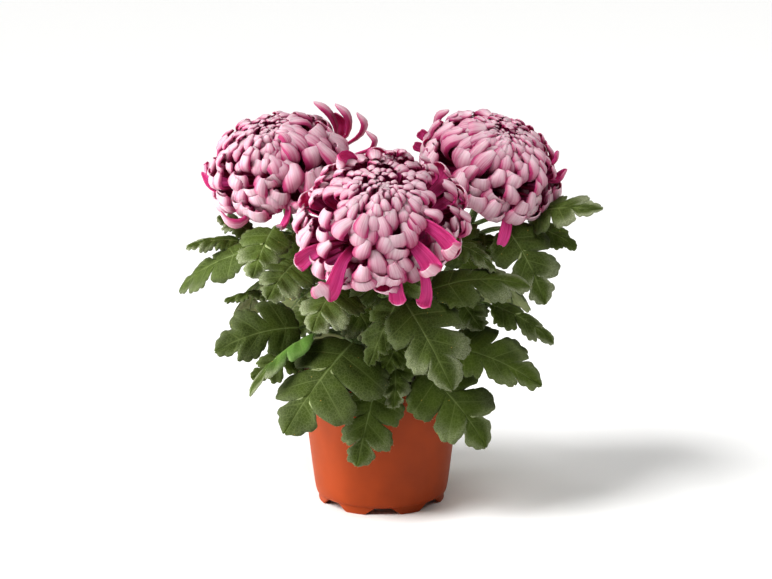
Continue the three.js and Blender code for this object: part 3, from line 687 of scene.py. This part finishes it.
class AddBlooms(bpy.types.Operator):
    """Adds the three blooms, each with its heart and its spiral of hooked florets"""

    bl_idname = "mesh.add_chrysanthemum_blooms"
    bl_label = "Blooms"
    bl_options = {"REGISTER", "UNDO"}

    def execute(self, context):
        bloom = context.scene.pot_plant.bloom
        # On both faces the deep colour at the foot and the edges is partly painted shade.
        outer = floret_face("Ray floret, silvery outer face", bloom.outer, bloom.rose_and_shade, foot=0.7, edge=0.74,
                            streak=0.4)
        inner = floret_face("Ray floret, magenta inner face", bloom.inner, bloom.shade, foot=0.3, edge=0.1,
                            streak=0.7)
        for name, b in BLOOMS.items():
            bm = start_piece()
            to_world = bloom_frame(b)
            self.add_heart(bm, b, to_world)
            draw = random.Random(b["seed"])
            for i in range(bloom.florets):
                t = (i + 0.5) / bloom.florets
                f = self.draw_floret(b, t, i * GOLDEN, draw)
                if f:
                    self.add_round_floret(bm, b, to_world, t, f, draw)
            for tip, width, across, *points in STRAYS[name]:
                # Strays take only the lower tones: painted shade that keeps these exposed florets a little
                # darker than those of the round.
                floret(bm, curve(points, count=24), Vector(across), width, *TIPS[tip], 0.3 * draw.random())
            piece = finish_piece(bm, f"bloom_{name}_florets", f"bloom_{name}", [outer, inner])
            # The sheet is the outer face, and its wall grows to the inner one.
            wall = piece.modifiers.new("Floret thickness", "SOLIDIFY")
            wall.thickness, wall.offset = bloom.thickness, -1
            wall.material_offset, wall.use_even_offset = 1, False
        return {"FINISHED"}

    def add_heart(self, bm, b, to_world):
        """The solid middle of the bloom, down to the calyx, ribbed below where florets leave it."""
        profile = [(0, -b["seat"]), (14, -b["seat"])]
        for angle in (118, 108, 98, 88, 78, 66, 54, 42, 30, 20, 10):  # degrees off the axis
            r = skin(b, angle, CORE)
            profile.append((r * math.sin(math.radians(angle)), r * math.cos(math.radians(angle))))
        profile.append((0, b["dome"] * CORE))
        shell = turned(bm, profile, steps=96, tone=0.5)
        for v in shell:
            ribs = 1 + 0.035 * math.cos(24 * math.atan2(v.co.y, v.co.x)) * smooth(-v.co.z / 4)
            v.co.x, v.co.y = v.co.x * ribs, v.co.y * ribs
        # Above its widest ring the heart takes the inner face. With no UV map of its own it reads as a
        # floret's foot all over, so it also wears that face's painted shade.
        for face in {f for v in shell for f in v.link_faces}:
            face.material_index = 0 if face.calc_center_median().z < 0 else 1
        bmesh.ops.transform(bm, matrix=to_world, verts=shell)

    def draw_floret(self, b, t, turn, draw):
        """One floret of the round, or None where there is no room for it. t runs from 0 at the eye to 1 at
        the outermost, and turn is its side."""
        def facing(side):
            return math.cos(math.radians(f["turn"] - side))

        # shoulder is how many degrees off the axis its top stands, and rise how much further out it sets off.
        # bend is the radius of its bend, hook how far beyond the axis the bend turns it, tip the length after
        # the bend, and reach how far out the top stands, as a share of the skin.
        f = {
            "turn": turn,
            "shoulder": mix(2, 99, t ** 0.9) + jitter(draw, mix(2, 5, t)),
            "rise": mix(4, 12, t),
            "hook": mix(16, 30, smooth(t * 1.6)) + jitter(draw, mix(8, 22, t)),
            "bend": mix(2.2, 7.2, smooth(t * 1.7)) * (1 + jitter(draw, 0.18)),
            "tip": mix(1.6, 6, smooth(t * 1.7)) * (1 + jitter(draw, 0.3)),
            "reach": mix(0.9, 1, smooth(t * 6)) + jitter(draw, mix(0.025, 0.1, t)),
            "width": mix(3.2, 15.8, t ** 0.62) * (1 + jitter(draw, 0.2)),
        }
        if draw.random() < 0.15:
            f["width"] *= 0.7  # a slender one
        faces = 0.5 + 0.5 * facing(b["open"])
        f["open"] = draw.random() < 0.65 * smooth((t - 0.4) / 0.35) * mix(0.4, 1, faces)
        side, broad = b["broad"]
        broad *= max(0, facing(side)) ** 2 * smooth((t - 0.12) / 0.2)
        if draw.random() < 0.42 * broad:
            return None
        f["width"] *= 1 + 0.45 * broad
        f["tip"] += 6 * broad
        f["bend"] *= 1 + 0.5 * broad
        if f["open"]:  # broad and blunt, it stays an open cup and doesn't close into a knob
            f["hook"] -= 26
            f["tip"] = 3
            f["width"] *= 1.25
        f["turn"] += jitter(draw, mix(4, 8, t))
        for side, half, low, high in b["gaps"]:
            off = abs((f["turn"] - side + 180) % 360 - 180)
            if off < half and low < f["shoulder"] < high and draw.random() < 0.75:
                f["shoulder"] = high + draw.random() * 12  # it moves down, into the row behind the gap
                f["tip"] += 2
        # Lower down many florets stay short, and the long outermost ones show their inner faces.
        sparse = smooth((f["shoulder"] - 50) / 20) * (1 - smooth((f["shoulder"] - 84) / 6))
        if draw.random() < b["loose"] * sparse * mix(0.2, 1, faces * faces):
            f["reach"] *= draw.uniform(0.54, 0.7)
            f["bend"] *= 0.7
            f["width"] *= 0.7
        side, share = b["short"]
        f["reach"] -= share * max(0, facing(side)) ** 3 * smooth(t * 1.6)
        return f

    def add_round_floret(self, bm, b, to_world, t, f, draw):
        """Stands a drawn floret in its place, with a little sway and tilt of its own."""
        line = self.seen_part(b, floret_line(b, f))
        out, across = spoke(math.radians(f["turn"]))
        sway = jitter(draw, mix(3, 10, t))
        path = []
        for i, (r, z) in enumerate(line):
            s = i / (len(line) - 1)
            path.append(to_world @ (out * r + across * sway * s * s + Vector((0, 0, z))))
        tilt = Matrix.Rotation(math.radians(jitter(draw, mix(14, 36, t))), 3, to_world.to_3x3() @ out)
        cup, taper, blunt, begin = (48, 0.95, 0.6, 0.9) if f["open"] else (mix(42, 58, t), 0.7, 0.3, 0.9)
        across = tilt @ (to_world.to_3x3() @ across)
        floret(bm, path, across, f["width"], cup + jitter(draw, 6), taper, blunt, begin, draw.random())

    def seen_part(self, b, line):
        """A midline without its foot, which the heart hides, but for the last 3 mm of it."""
        for first, (r, z) in enumerate(line[1:BURIED + 1]):
            if math.hypot(r, z) > skin(b, math.degrees(math.atan2(r, z)), CORE) - 3:
                return line[first:]
        return line[BURIED:]


def floret(bm, path, across, width, cup, taper, blunt, begin, tone):
    """A strap-shaped floret along a path: rolled lengthwise into a trough that opens towards the eye,
    broadest before its tip, with two flutes in its back. cup is half the trough's opening in degrees, taper
    the share of the width where the rounding of the tip begins, blunt that at the very tip, and begin how far
    along it the rounding begins. tone sets its tint and its streaks."""
    skew = ((tone * 7.3) % 1 - 0.5) * 0.5  # how far to one side its flutes lie

    def shape(a, row):
        s = 1 - (1 - row) ** 1.7  # rows lie closer together towards the tip
        s *= 1 - 0.05 * blunt * (1 - a * a) * smooth((s - 0.8) / 0.2)  # a blunt tip is notched
        p, way = along(path, s)
        x = (across - way * across.dot(way)).normalized()
        back = x.cross(way)
        share = mix(0.45, 1, smooth(s / 0.8)) * mix(1, taper, smooth((s - 0.75) / 0.18))
        share *= mix(blunt, 1, math.sqrt(max(0, 1 - max(0, (s - begin) / (1 - begin)) ** 2)))
        half = width / 2 * share
        roll = math.radians(mix(cup * 0.7, cup, smooth(s / 0.6)) + 16 * smooth((s - 0.7) / 0.2) * (1 - blunt))
        radius = half / math.sin(roll)
        turn = a * roll
        flutes = smooth(s * 3) * (1 - 0.8 * smooth((s - 0.8) / 0.2))
        lift = 0.022 * 2 * half * math.cos(3 * math.pi * (a + skew * (1 - a * a))) * flutes
        sunk = radius * (1 - math.cos(turn)) - half * 0.25 - lift
        return p + x * radius * math.sin(turn) - back * sunk, {"tone": tone}

    sheet(bm, columns=6, rows=12, shape=shape)


# ---------------------------------------------------------------- leafy stems
# Each stem: the seed of its leaves and hairs, its place in the pot, and the points that it bends through.
STEMS = {
    "front": {"seed": 1408, "foot": (2, -16), "bend": ((3, -19, 130), (3, -26, 170))},
    "left": {"seed": 234, "foot": (-14, 8), "bend": ((-32, 20, 140), (-60, 38, 188))},
    "right": {"seed": 457, "foot": (15, 8), "bend": ((34, 20, 140), (60, 40, 188))},
}
STEM_RADIUS = 3.3
STEM_END, STEM_FREE = 53.3, 89.6  # heights of its lower end in the peat, and of where it is free of its hole
CALYX_DEPTH = 9
# The short hairs of each stem, from a height up, and of its leaves' margins.
HAIRS = {"above": 90, "on_stem": 900, "on_margins": 1300, "radius": 0.08, "length": (0.8, 1.8)}

# Half an outline, from the foot of the blade to its tip: share of the half width, share of the length, share
# of the midrib that this point of the margin grows from, how far a fully cut leaf is notched here, and how
# strong the side vein is that ends here.
OUTLINE = [
    (0.05, 0, 0, 0, 0), (0.22, -0.01, 0.01, 0, 0), (0.42, 0.02, 0.03, 0, 0), (0.66, 0.055, 0.06, 0, 0),
    (0.86, 0.12, 0.085, 0, 0.25), (0.92, 0.16, 0.1, 0, 0), (0.98, 0.21, 0.125, 0, 0), (1, 0.27, 0.15, 0, 1),
    (0.98, 0.33, 0.175, 0, 0), (0.94, 0.385, 0.195, 0, 0.2), (0.86, 0.415, 0.22, 0.05, 0),
    (0.79, 0.4, 0.255, 0.36, 0), (0.78, 0.385, 0.29, 0.64, 0), (0.78, 0.42, 0.315, 0.42, 0),
    (0.78, 0.47, 0.34, 0.14, 0), (0.81, 0.52, 0.37, 0.03, 0), (0.86, 0.575, 0.4, 0, 0.2),
    (0.86, 0.635, 0.425, 0, 0), (0.81, 0.69, 0.45, 0, 1), (0.71, 0.735, 0.49, 0, 0),
    (0.6, 0.755, 0.53, 0.04, 0), (0.56, 0.725, 0.565, 0.24, 0), (0.55, 0.68, 0.6, 0.43, 0),
    (0.5, 0.74, 0.645, 0.18, 0), (0.46, 0.81, 0.7, 0.02, 0.8), (0.4, 0.87, 0.76, 0, 0),
    (0.28, 0.93, 0.83, 0, 0.2), (0.16, 0.97, 0.9, 0, 0), (0.03, 1, 0.99, 0, 0),
]
MAIN_VEINS = [i for i, point in enumerate(OUTLINE) if point[4] >= 0.8]

# Each leaf: foot and tip of the blade, the way its upper face looks, its half widths on the right and on the
# left, how deep its notches are, how far the midrib bows up, how far its sides hang, and the height at which
# its stalk leaves the stem.
LEAVES = {
    "front": [
        ((-22, -46, 135), (-67, -88, 74), (-0.25, -0.7, 0.6), (33, 42), 0.9, 8, 8, 112),
        ((-4, -66, 107), (-19, -80, 49), (0, -1, 0.3), (18, 25), 0.8, 3, 5, 98),
        ((18, -72, 171), (49, -104, 113), (0.1, -0.8, 0.6), (23, 33), 0.5, 8, 7, 150),
        ((12, -72, 173), (-9, -75, 125), (-0.2, -0.9, 0.4), (15, 9), 0.3, 4, 4, 146),
        ((-30, -66, 183), (-54, -92, 156), (-0.2, -0.7, 0.7), (21, 26), 0.9, 5, 6, 165),
        ((10, -57, 123), (13, -73, 92), (0, -0.9, 0.4), (13, 13), 0.6, 3, 3, 116),
        ((32, -52, 114), (81, -74, 64), (0.3, -0.7, 0.6), (30, 35), 0.9, 6, 6, 104),
        ((8, 10, 176), (4, 60, 160), (0, 0.3, 1), (24, 24), 0.8, 6, 5, 160),
        ((14, -48, 140), (4, -66, 116), (0, -0.9, 0.4), (14, 14), 0.6, 3, 3, 126),
        ((8, -50, 176), (36, -76, 198), (0.1, -0.9, 0.5), (17, 17), 0.6, 3, 4, 160),
        ((-2, -52, 178), (-28, -78, 196), (-0.1, -0.9, 0.5), (15, 15), 0.6, 3, 4, 162),
    ],
    "left": [
        ((-82, -26, 218), (-95, -46, 184), (-0.2, -0.8, 0.5), (21, 17), 0.9, 4, 5, 205),
        ((-100, -14, 200), (-162, 50, 152), (-0.3, -0.7, 0.6), (13, 15), 0.7, 8, 5, 185),
        ((-111, 16, 201), (-151, 10, 197), (-0.2, -0.4, 0.9), (9, 8), 0.6, 4, 3, 192),
        ((-101, 22, 207), (-129, 24, 215), (0, -0.5, 0.9), (12, 10), 0.5, 3, 3, 200),
        ((-64, -44, 196), (-85, -66, 173), (-0.2, -0.7, 0.6), (18, 24), 0.9, 4, 4, 172),
        ((-88, 2, 163), (-121, -8, 159), (-0.2, -0.2, 1), (9, 9), 0.6, 3, 3, 150),
        ((-63, -26, 142), (-127, -40, 132), (-0.1, -0.75, 0.6), (28, 18), 0.5, 7, 6, 132),
        ((-52, -42, 141), (-99, -66, 100), (-0.7, -0.2, 0.7), (10, 13), 0.4, 6, 6, 124),
        ((-62, -20, 123), (-96, -30, 99), (-0.3, -0.6, 0.7), (16, 16), 0.8, 4, 4, 112),
        ((-68, -6, 210), (-52, -20, 174), (0.2, -0.9, 0.4), (16, 16), 0.8, 4, 4, 188),
        ((-26, -6, 166), (-6, -24, 126), (0.2, -0.8, 0.5), (22, 22), 0.8, 4, 4, 150),
        ((-40, -4, 160), (-66, -14, 130), (-0.1, -0.9, 0.4), (16, 16), 0.6, 3, 3, 138),
        ((-72, 62, 190), (-100, 112, 164), (-0.2, 0.5, 0.8), (26, 26), 0.8, 8, 6, 176),
        ((-48, 58, 152), (-74, 122, 118), (-0.1, 0.6, 0.7), (30, 30), 0.8, 9, 7, 136),
        ((-6, 54, 142), (-10, 106, 110), (0, 0.5, 0.8), (28, 28), 0.8, 8, 6, 122),
        ((-66, 74, 206), (-60, 104, 186), (0, 0.6, 0.8), (17, 17), 0.8, 5, 4, 194),
        ((-25, 55, 122), (-45, 92, 70), (-0.1, 0.8, 0.5), (27, 27), 0.8, 7, 6, 102),
        ((-88, 50, 166), (-112, 90, 118), (-0.5, 0.4, 0.7), (23, 23), 0.8, 8, 6, 152),
    ],
    "right": [
        ((49, -46, 132), (120, -58, 104), (0.2, -0.7, 0.8), (16, 32), 0.5, 9, 7, 122),
        ((38, -58, 179), (112, -44, 175), (0.1, -0.5, 0.9), (21, 22), 0.5, 10, 7, 150),
        ((96, 0, 214), (127, -22, 160), (0.2, -0.8, 0.5), (20, 27), 1, 6, 6, 190),
        ((117, 24, 222), (163.5, -30, 229), (-0.35, -0.6, 0.7), (19, 16), 0.7, 6, 4, 206),
        ((114, 20, 212), (151, 10, 197), (0.2, -0.5, 0.8), (14, 14), 0.7, 4, 4, 196),
        ((84, -28, 160), (132, -32, 134), (0.3, -0.6, 0.8), (13, 12), 0.9, 4, 4, 152),
        ((56, -26, 169), (73, -34, 140), (0.2, -0.8, 0.5), (17, 17), 0.5, 3, 4, 140),
        ((54, -30, 208), (88, -40, 192), (0.1, -0.5, 0.9), (10, 9), 0.7, 4, 3, 178),
        ((80, 14, 206), (79, 6, 182), (0, -0.8, 0.5), (16, 16), 0.8, 3, 3, 196),
        ((52, 8, 214), (70, -8, 180), (0, -0.9, 0.4), (18, 18), 0.6, 3, 3, 192),
        ((28, 2, 162), (12, -16, 122), (0, -0.8, 0.5), (20, 20), 0.8, 4, 4, 144),
        ((76, 64, 192), (104, 112, 168), (0.2, 0.5, 0.8), (26, 26), 0.8, 8, 6, 176),
        ((50, 60, 152), (82, 112, 120), (0.1, 0.6, 0.7), (30, 30), 0.8, 9, 7, 136),
        ((14, 58, 176), (24, 106, 158), (0, 0.5, 0.8), (22, 22), 0.8, 7, 5, 160),
        ((26, 52, 120), (46, 88, 70), (0.1, 0.8, 0.5), (27, 27), 0.8, 7, 6, 102),
        ((90, 52, 164), (110, 92, 122), (0.5, 0.4, 0.7), (23, 23), 0.8, 8, 6, 150),
    ],
}
# Painted light: the glow of light through the young folded leaf, on top of its own fresher green.
YOUNG_GLOW = {("left", 7): 0.75}  # the young folded leaf that the light comes through, and how fresh its green is


def stem_path(name):
    """A stem's middle line: straight up through the peat, bent, and straight again into the calyx."""
    foot = STEMS[name]["foot"]
    b = BLOOMS[name]
    to_world = bloom_frame(b)
    cup = -b["seat"] - GAP - CALYX_DEPTH
    ground = Vector((*foot, STEM_FREE))
    up = [ground, ground + Vector((0, 0, 9)), *STEMS[name]["bend"]]
    up += [to_world @ Vector((0, 0, cup - 16)), to_world @ Vector((0, 0, cup + 1))]
    return [Vector((*foot, mix(STEM_END, STEM_FREE, i / 6))) for i in range(6)] + curve(up, count=40)


def at_height(path, height):
    """The point of a path at a height, or its end."""
    for low, high in zip(path, path[1:]):
        if high.z >= height:
            return low.lerp(high, (height - low.z) / (high.z - low.z))
    return path[-1]


class AddLeafyStems(bpy.types.Operator):
    """Adds the three stems with their stalked, lobed leaves and the green calyx under each bloom"""

    bl_idname = "mesh.add_leafy_stems"
    bl_label = "Leafy stems"
    bl_options = {"REGISTER", "UNDO"}

    def execute(self, context):
        leaf = context.scene.pot_plant.leaf
        finishes = [
            leaf_face("Chrysanthemum leaf, upper face", leaf.upper, leaf, downy=0, roughness=0.68),
            leaf_face("Chrysanthemum leaf, downy underside", leaf.under, leaf, downy=0.35, roughness=0.75),
            green_stem(leaf),
        ]
        hair = leaf_hair(leaf.down)
        for name in STEMS:
            node = f"leafy_stem_{name}"
            draw = random.Random(STEMS[name]["seed"])
            path = stem_path(name)
            bm = start_piece()
            margins = []
            for i, spec in enumerate(LEAVES[name]):
                margins += self.add_leaf(bm, leaf, spec, draw, YOUNG_GLOW.get((name, i), 0))
            blades = finish_piece(bm, f"leaves_{name}", node, finishes)
            wall = blades.modifiers.new("Blade thickness", "SOLIDIFY")
            wall.thickness, wall.offset, wall.material_offset = leaf.thickness, 0, 1
            bm = start_piece()
            tube(bm, path, self.ribbed, sides=32, side=Vector((1, 0, 0)))
            for spec in LEAVES[name]:
                self.add_stalk(bm, spec, path)
            self.add_calyx(bm, name)
            skin_points = [(v.co.copy(), v.normal.copy()) for v in bm.verts if v.co.z > HAIRS["above"]]
            finish_piece(bm, f"stem_{name}", node, finishes[2:])
            bm = start_piece()
            rooted = draw.sample(skin_points, HAIRS["on_stem"]) + draw.sample(margins, HAIRS["on_margins"])
            for point, out in rooted:
                self.add_hair(bm, point, out, draw)
            finish_piece(bm, f"hairs_{name}", node, [hair])
        return {"FINISHED"}

    def ribbed(self, s, turn):
        """The stem's radius: eight ribs, and a tenth slimmer at its top."""
        return STEM_RADIUS * (1 + 0.07 * math.cos(8 * turn)) * mix(1, 0.9, s)

    def add_hair(self, bm, point, out, draw):
        """A three-sided spike."""
        way = (out + Vector([draw.uniform(-0.5, 0.5) for _ in range(3)])).normalized()
        side = way.orthogonal().normalized() * HAIRS["radius"]
        ring = [bm.verts.new(point + Matrix.Rotation(math.tau * i / 3, 3, way) @ side) for i in range(3)]
        tip = bm.verts.new(point + way * draw.uniform(*HAIRS["length"]))
        for low, high in zip(ring, ring[1:] + ring[:1]):
            bm.faces.new((low, high, tip))

    def placer(self, spec):
        """A function that places a point of the blade from its shares across and along it and its height
        above it, and the blade's ways across and up."""
        base, tip, face, width, _, arch, sag, stalk = spec
        base, chord = Vector(base), Vector(tip) - Vector(base)
        y = chord.normalized()
        n = (Vector(face) - y * Vector(face).dot(y)).normalized()
        x = y.cross(n)
        sweep = 6 * math.sin(stalk * 1.7)  # the midrib bends to one side, each leaf's by its own amount

        def place(across, share, up):
            out = across * width[0 if across > 0 else 1] + sweep * share * share
            rise = up + arch * 4 * share * (1 - share) - sag * across * across
            return base + chord * share + x * out + n * rise

        return place, x, n

    def add_leaf(self, bm, leaf, spec, draw, fresh):
        """A blade with its lobes, teeth and veins. Returns points of its margin, each with its way out."""
        place, x, n = self.placer(spec)
        base, tip, _, width, notched, *_ = spec
        cut, seed = min(1.05, notched * 1.25), draw.random() * 50
        tone, downy = draw.uniform(0.7, 1.25), 1 if fresh else min(1, 1.7 * draw.random() ** 2)
        span = sum(width) / 2
        teeth, relief = leaf.teeth / MM, leaf.relief / MM
        last = len(OUTLINE) - 1
        reach = (Vector(tip) - Vector(base)).length
        margins = []

        def shape(across, row):
            q = row * last
            k = min(int(q), last - 1)
            (a0, b0, r0, c0, _), (a1, b1, r1, c1, _) = OUTLINE[k], OUTLINE[k + 1]
            ease = mix(q - k, smooth(q - k), 0.5)
            margin, high, rib, notch = [mix(u, v, ease) for u, v in ((a0, a1), (b0, b1), (r0, r1), (c0, c1))]
            side = 1 if across > 0 else -1
            t = abs(across) ** 1.6  # columns lie closer together towards the midrib
            margin -= notch * cut
            wander = noise.noise(Vector((q * 0.3, side * 3, seed)))
            # Rounded teeth with sharp notches between them.
            tooth = 1 - (2 * ((q * 0.54 + seed + side) % 1) - 1) ** 2
            half = width[0 if side > 0 else 1]
            out = Vector(((b1 - b0) * reach, (a0 - a1 + (c1 - c0) * cut) * half)).normalized()
            uneven = 0.85 + 0.9 * noise.noise(Vector((q * 0.5, side * 7, seed)))
            stand = teeth * tooth * uneven * smooth(margin * 3) * max(0, 1 - 1.8 * notch) * (1 - fresh)
            margin += wander * 0.07 * margin + out.x * stand / half
            high += out.y * stand / reach
            high += 0.02 * noise.noise(Vector((q * 0.25, side * 5 + 9, seed))) * smooth(margin * 3)
            a, s = side * margin * t, mix(rib, high, t)
            rise, vein = self.veined(q, a, s, t, span, relief, seed)
            tips = smooth((t - 0.45) / 0.5) * smooth((s - 0.2) / 0.6)
            rim = 0.25 * smooth((t - 0.94) / 0.06)
            point = place(a, s, rise)
            if abs(across) > 0.99:
                margins.append((point, x * side * out.x + (n.cross(x)) * out.y))
            # The young leaf's painted glow is full up to three tenths of its length and gone by eight tenths.
            return point, {"vein": vein * mix(0.62, 0.35, s), "down": max(downy * tips, rim), "tone": tone,
                           "fresh": fresh * (1 - smooth((s - 0.3) / 0.5))}

        sheet(bm, columns=14, rows=last * 4, shape=shape)
        return margins

    def veined(self, q, a, s, t, span, relief, seed):
        """How high the blade stands at a point, and how much of a vein is there. It waves towards its margin,
        swells between its main veins and sinks along its midrib."""
        near = round(q)
        strength = OUTLINE[near][4] * max(0, 1 - abs(q - near) / 0.26) * mix(0.8, 0.3, t)
        middle = max(0, 1 - abs(a) * span / mix(1.1, 0.6, s))
        apart = min(abs(q - i) for i in MAIN_VEINS)
        wave = 3.4 * t * noise.noise(Vector((s * 3.2, a * 1.6, seed)))
        swell = relief * math.sin(math.pi * min(1, t * 1.1)) * (smooth(apart / 2.2) - 0.5) - 0.4 * middle
        return wave + swell, max(strength, middle)

    def add_stalk(self, bm, spec, path):
        """The stalk from the stem to the blade, which goes on along the blade's underside as its midrib."""
        place, x, _ = self.placer(spec)
        base = Vector(spec[0])
        root = at_height(path, spec[7])
        knee = root.lerp(base, 0.55)
        knee.z = max(root.z, base.z)
        points = [root.lerp(knee, t).lerp(knee.lerp(base, t), t) for t in [i / 10 for i in range(10)]]
        points += [place(0, s, -mix(1.3, 0.5, s)) for s in [i / 12 for i in range(12)]]
        turn_at = 10 / (len(points) - 1)  # the share of the whole where the blade begins

        def radius(s, turn):
            if s < turn_at:
                return mix(1.9, 1.4, s / turn_at)
            return mix(1.4, 0.35, (s - turn_at) / (1 - turn_at))

        tube(bm, points, radius, sides=8, side=x)

    def add_calyx(self, bm, name):
        """The cup under the bloom and three rows of pointed bracts that overlap on it."""
        b = BLOOMS[name]
        to_world = bloom_frame(b) @ Matrix.Translation((0, 0, -b["seat"] - GAP))
        d = CALYX_DEPTH
        cup = [(0, -d), (4.4, -d), (7.5, -d * 0.86), (10.1, -d * 0.6), (12.6, -d * 0.26), (13.6, -0.4),
               (13.2, 0), (0, 0)]
        turned(bm, cup, steps=24, matrix=to_world)
        # Each row: how many bracts, and how high their feet and their tips are, as shares of the depth.
        for row, (count, low, high) in enumerate(((10, 0.0, 0.62), (13, 0.12, 0.8), (16, 0.3, 0.98))):
            for i in range(count):
                out, across = spoke(math.tau * (i + row * 0.5) / count)

                def shape(a, s, out=out, across=across, low=low, high=high, row=row):
                    up = mix(low, high, s)
                    r = mix(5.5, 14.2, up ** 0.62) + 0.35 * (3 - row) + 0.9 * (1 - abs(a))
                    half = 2.6 * math.sin(math.pi * min(1, 0.25 + 0.75 * s)) + 0.1
                    return to_world @ (out * r + across * a * half + Vector((0, 0, -d * (1 - up)))), {}

                sheet(bm, columns=2, rows=4, shape=shape)


# ---------------------------------------------------------------- stage
FLOOR_REACH = 16  # metres from the floor's middle to its sides
MIDDLE = Vector((0.0036, 0, 0.1662))  # the point that the camera and the lights look at, in metres
# Each light: its kind, its place in metres, and its size, in degrees for a sun and in metres for an area.
LIGHTS = {
    "key": ("SUN", (-1.6, -0.8, 2.1), 32),
    "side": ("SUN", (-2.0, -0.3, 0.45), 32),
    "low": ("AREA", (-1.1, -0.2, 0.08), 0.4),
    "fill": ("AREA", (1.0, -0.8, 2.0), 1.2),
}
LOOK_DOWN = 12.26  # degrees that the camera is tipped down
PIXELS, PIXEL = 772, 0.771  # the width of the frame, and the millimetres that a pixel shows at the plant
SENSOR = 36  # width of the camera's sensor, in millimetres


class AddStage(bpy.types.Operator):
    """Adds the floor, the soft lights and the camera"""

    bl_idname = "scene.add_pot_plant_stage"
    bl_label = "Stage"
    bl_options = {"REGISTER", "UNDO"}

    def execute(self, context):
        stage = context.scene.pot_plant.stage
        self.add_floor(context, stage)
        world = bpy.data.worlds.new("Studio air")
        world.use_nodes = True
        air = world.node_tree.nodes["Background"].inputs
        air["Color"].default_value = (*stage.floor, 1)
        air["Strength"].default_value = stage.air
        context.scene.world = world
        context.scene.view_settings.view_transform = "Standard"
        context.scene.view_settings.look = "Medium High Contrast"
        for name, (kind, place, size) in LIGHTS.items():
            light = bpy.data.lights.new(f"{name}_light", kind)
            light.energy = getattr(stage, name)
            if kind == "SUN":
                light.angle = math.radians(size)
            else:
                light.size = size
            lamp = bpy.data.objects.new(f"{name}_light", light)
            lamp.location = place
            lamp.rotation_euler = (MIDDLE - Vector(place)).to_track_quat("-Z", "Y").to_euler()
            context.scene.collection.objects.link(lamp)
        self.add_camera(context, stage.distance)
        return {"FINISHED"}

    def add_floor(self, context, stage):
        bm = bmesh.new()
        bmesh.ops.create_grid(bm, x_segments=1, y_segments=1, size=FLOOR_REACH)
        mesh = bpy.data.meshes.new("floor")
        bm.to_mesh(mesh)
        bm.free()
        mesh.materials.append(plain_floor(stage.floor))
        floor = bpy.data.objects.new("floor", mesh)
        context.scene.collection.objects.link(floor)

    def add_camera(self, context, distance):
        lens = bpy.data.cameras.new("camera")
        lens.sensor_width = SENSOR
        lens.lens = SENSOR * distance / MM / (PIXELS * PIXEL)
        lens.clip_start, lens.clip_end = 0.05, 50
        camera = bpy.data.objects.new("camera", lens)
        down = math.radians(LOOK_DOWN)
        camera.location = MIDDLE + Vector((0, -math.cos(down), math.sin(down))) * distance
        camera.rotation_euler = (math.pi / 2 - down, 0, 0)
        context.scene.collection.objects.link(camera)
        context.scene.camera = camera


class PlantPanel(bpy.types.Panel):
    """Lists the pieces and their sizes and colours"""

    bl_idname = "VIEW3D_PT_pot_plant"
    bl_label = "Pot Chrysanthemum"
    bl_space_type = "VIEW_3D"
    bl_region_type = "UI"
    bl_category = "Pot plant"

    def draw(self, context):
        plant = context.scene.pot_plant
        for part, operator in ((plant.pot, AddPot), (plant.peat, AddPeat), (plant.leaf, AddLeafyStems),
                               (plant.bloom, AddBlooms), (plant.stage, AddStage)):
            box = self.layout.box()
            for key in part.bl_rna.properties.keys():
                if key not in ("rna_type", "name"):
                    box.prop(part, key)
            box.operator(operator.bl_idname)


CLASSES = (PotSettings, PeatSettings, LeafSettings, BloomSettings, StageSettings, PlantSettings, AddPot,
           AddPeat, AddLeafyStems, AddBlooms, AddStage, PlantPanel)


def register():
    for cls in CLASSES:
        bpy.utils.register_class(cls)
    bpy.types.Scene.pot_plant = PointerProperty(type=PlantSettings)


def unregister():
    del bpy.types.Scene.pot_plant
    for cls in reversed(CLASSES):
        bpy.utils.unregister_class(cls)


def main():
    register()
    bpy.ops.scene.add_pot_plant_stage()
    bpy.ops.mesh.add_nursery_pot()
    bpy.ops.mesh.add_pot_peat()
    bpy.ops.mesh.add_leafy_stems()
    bpy.ops.mesh.add_chrysanthemum_blooms()


if __name__ == "__main__":
    main()
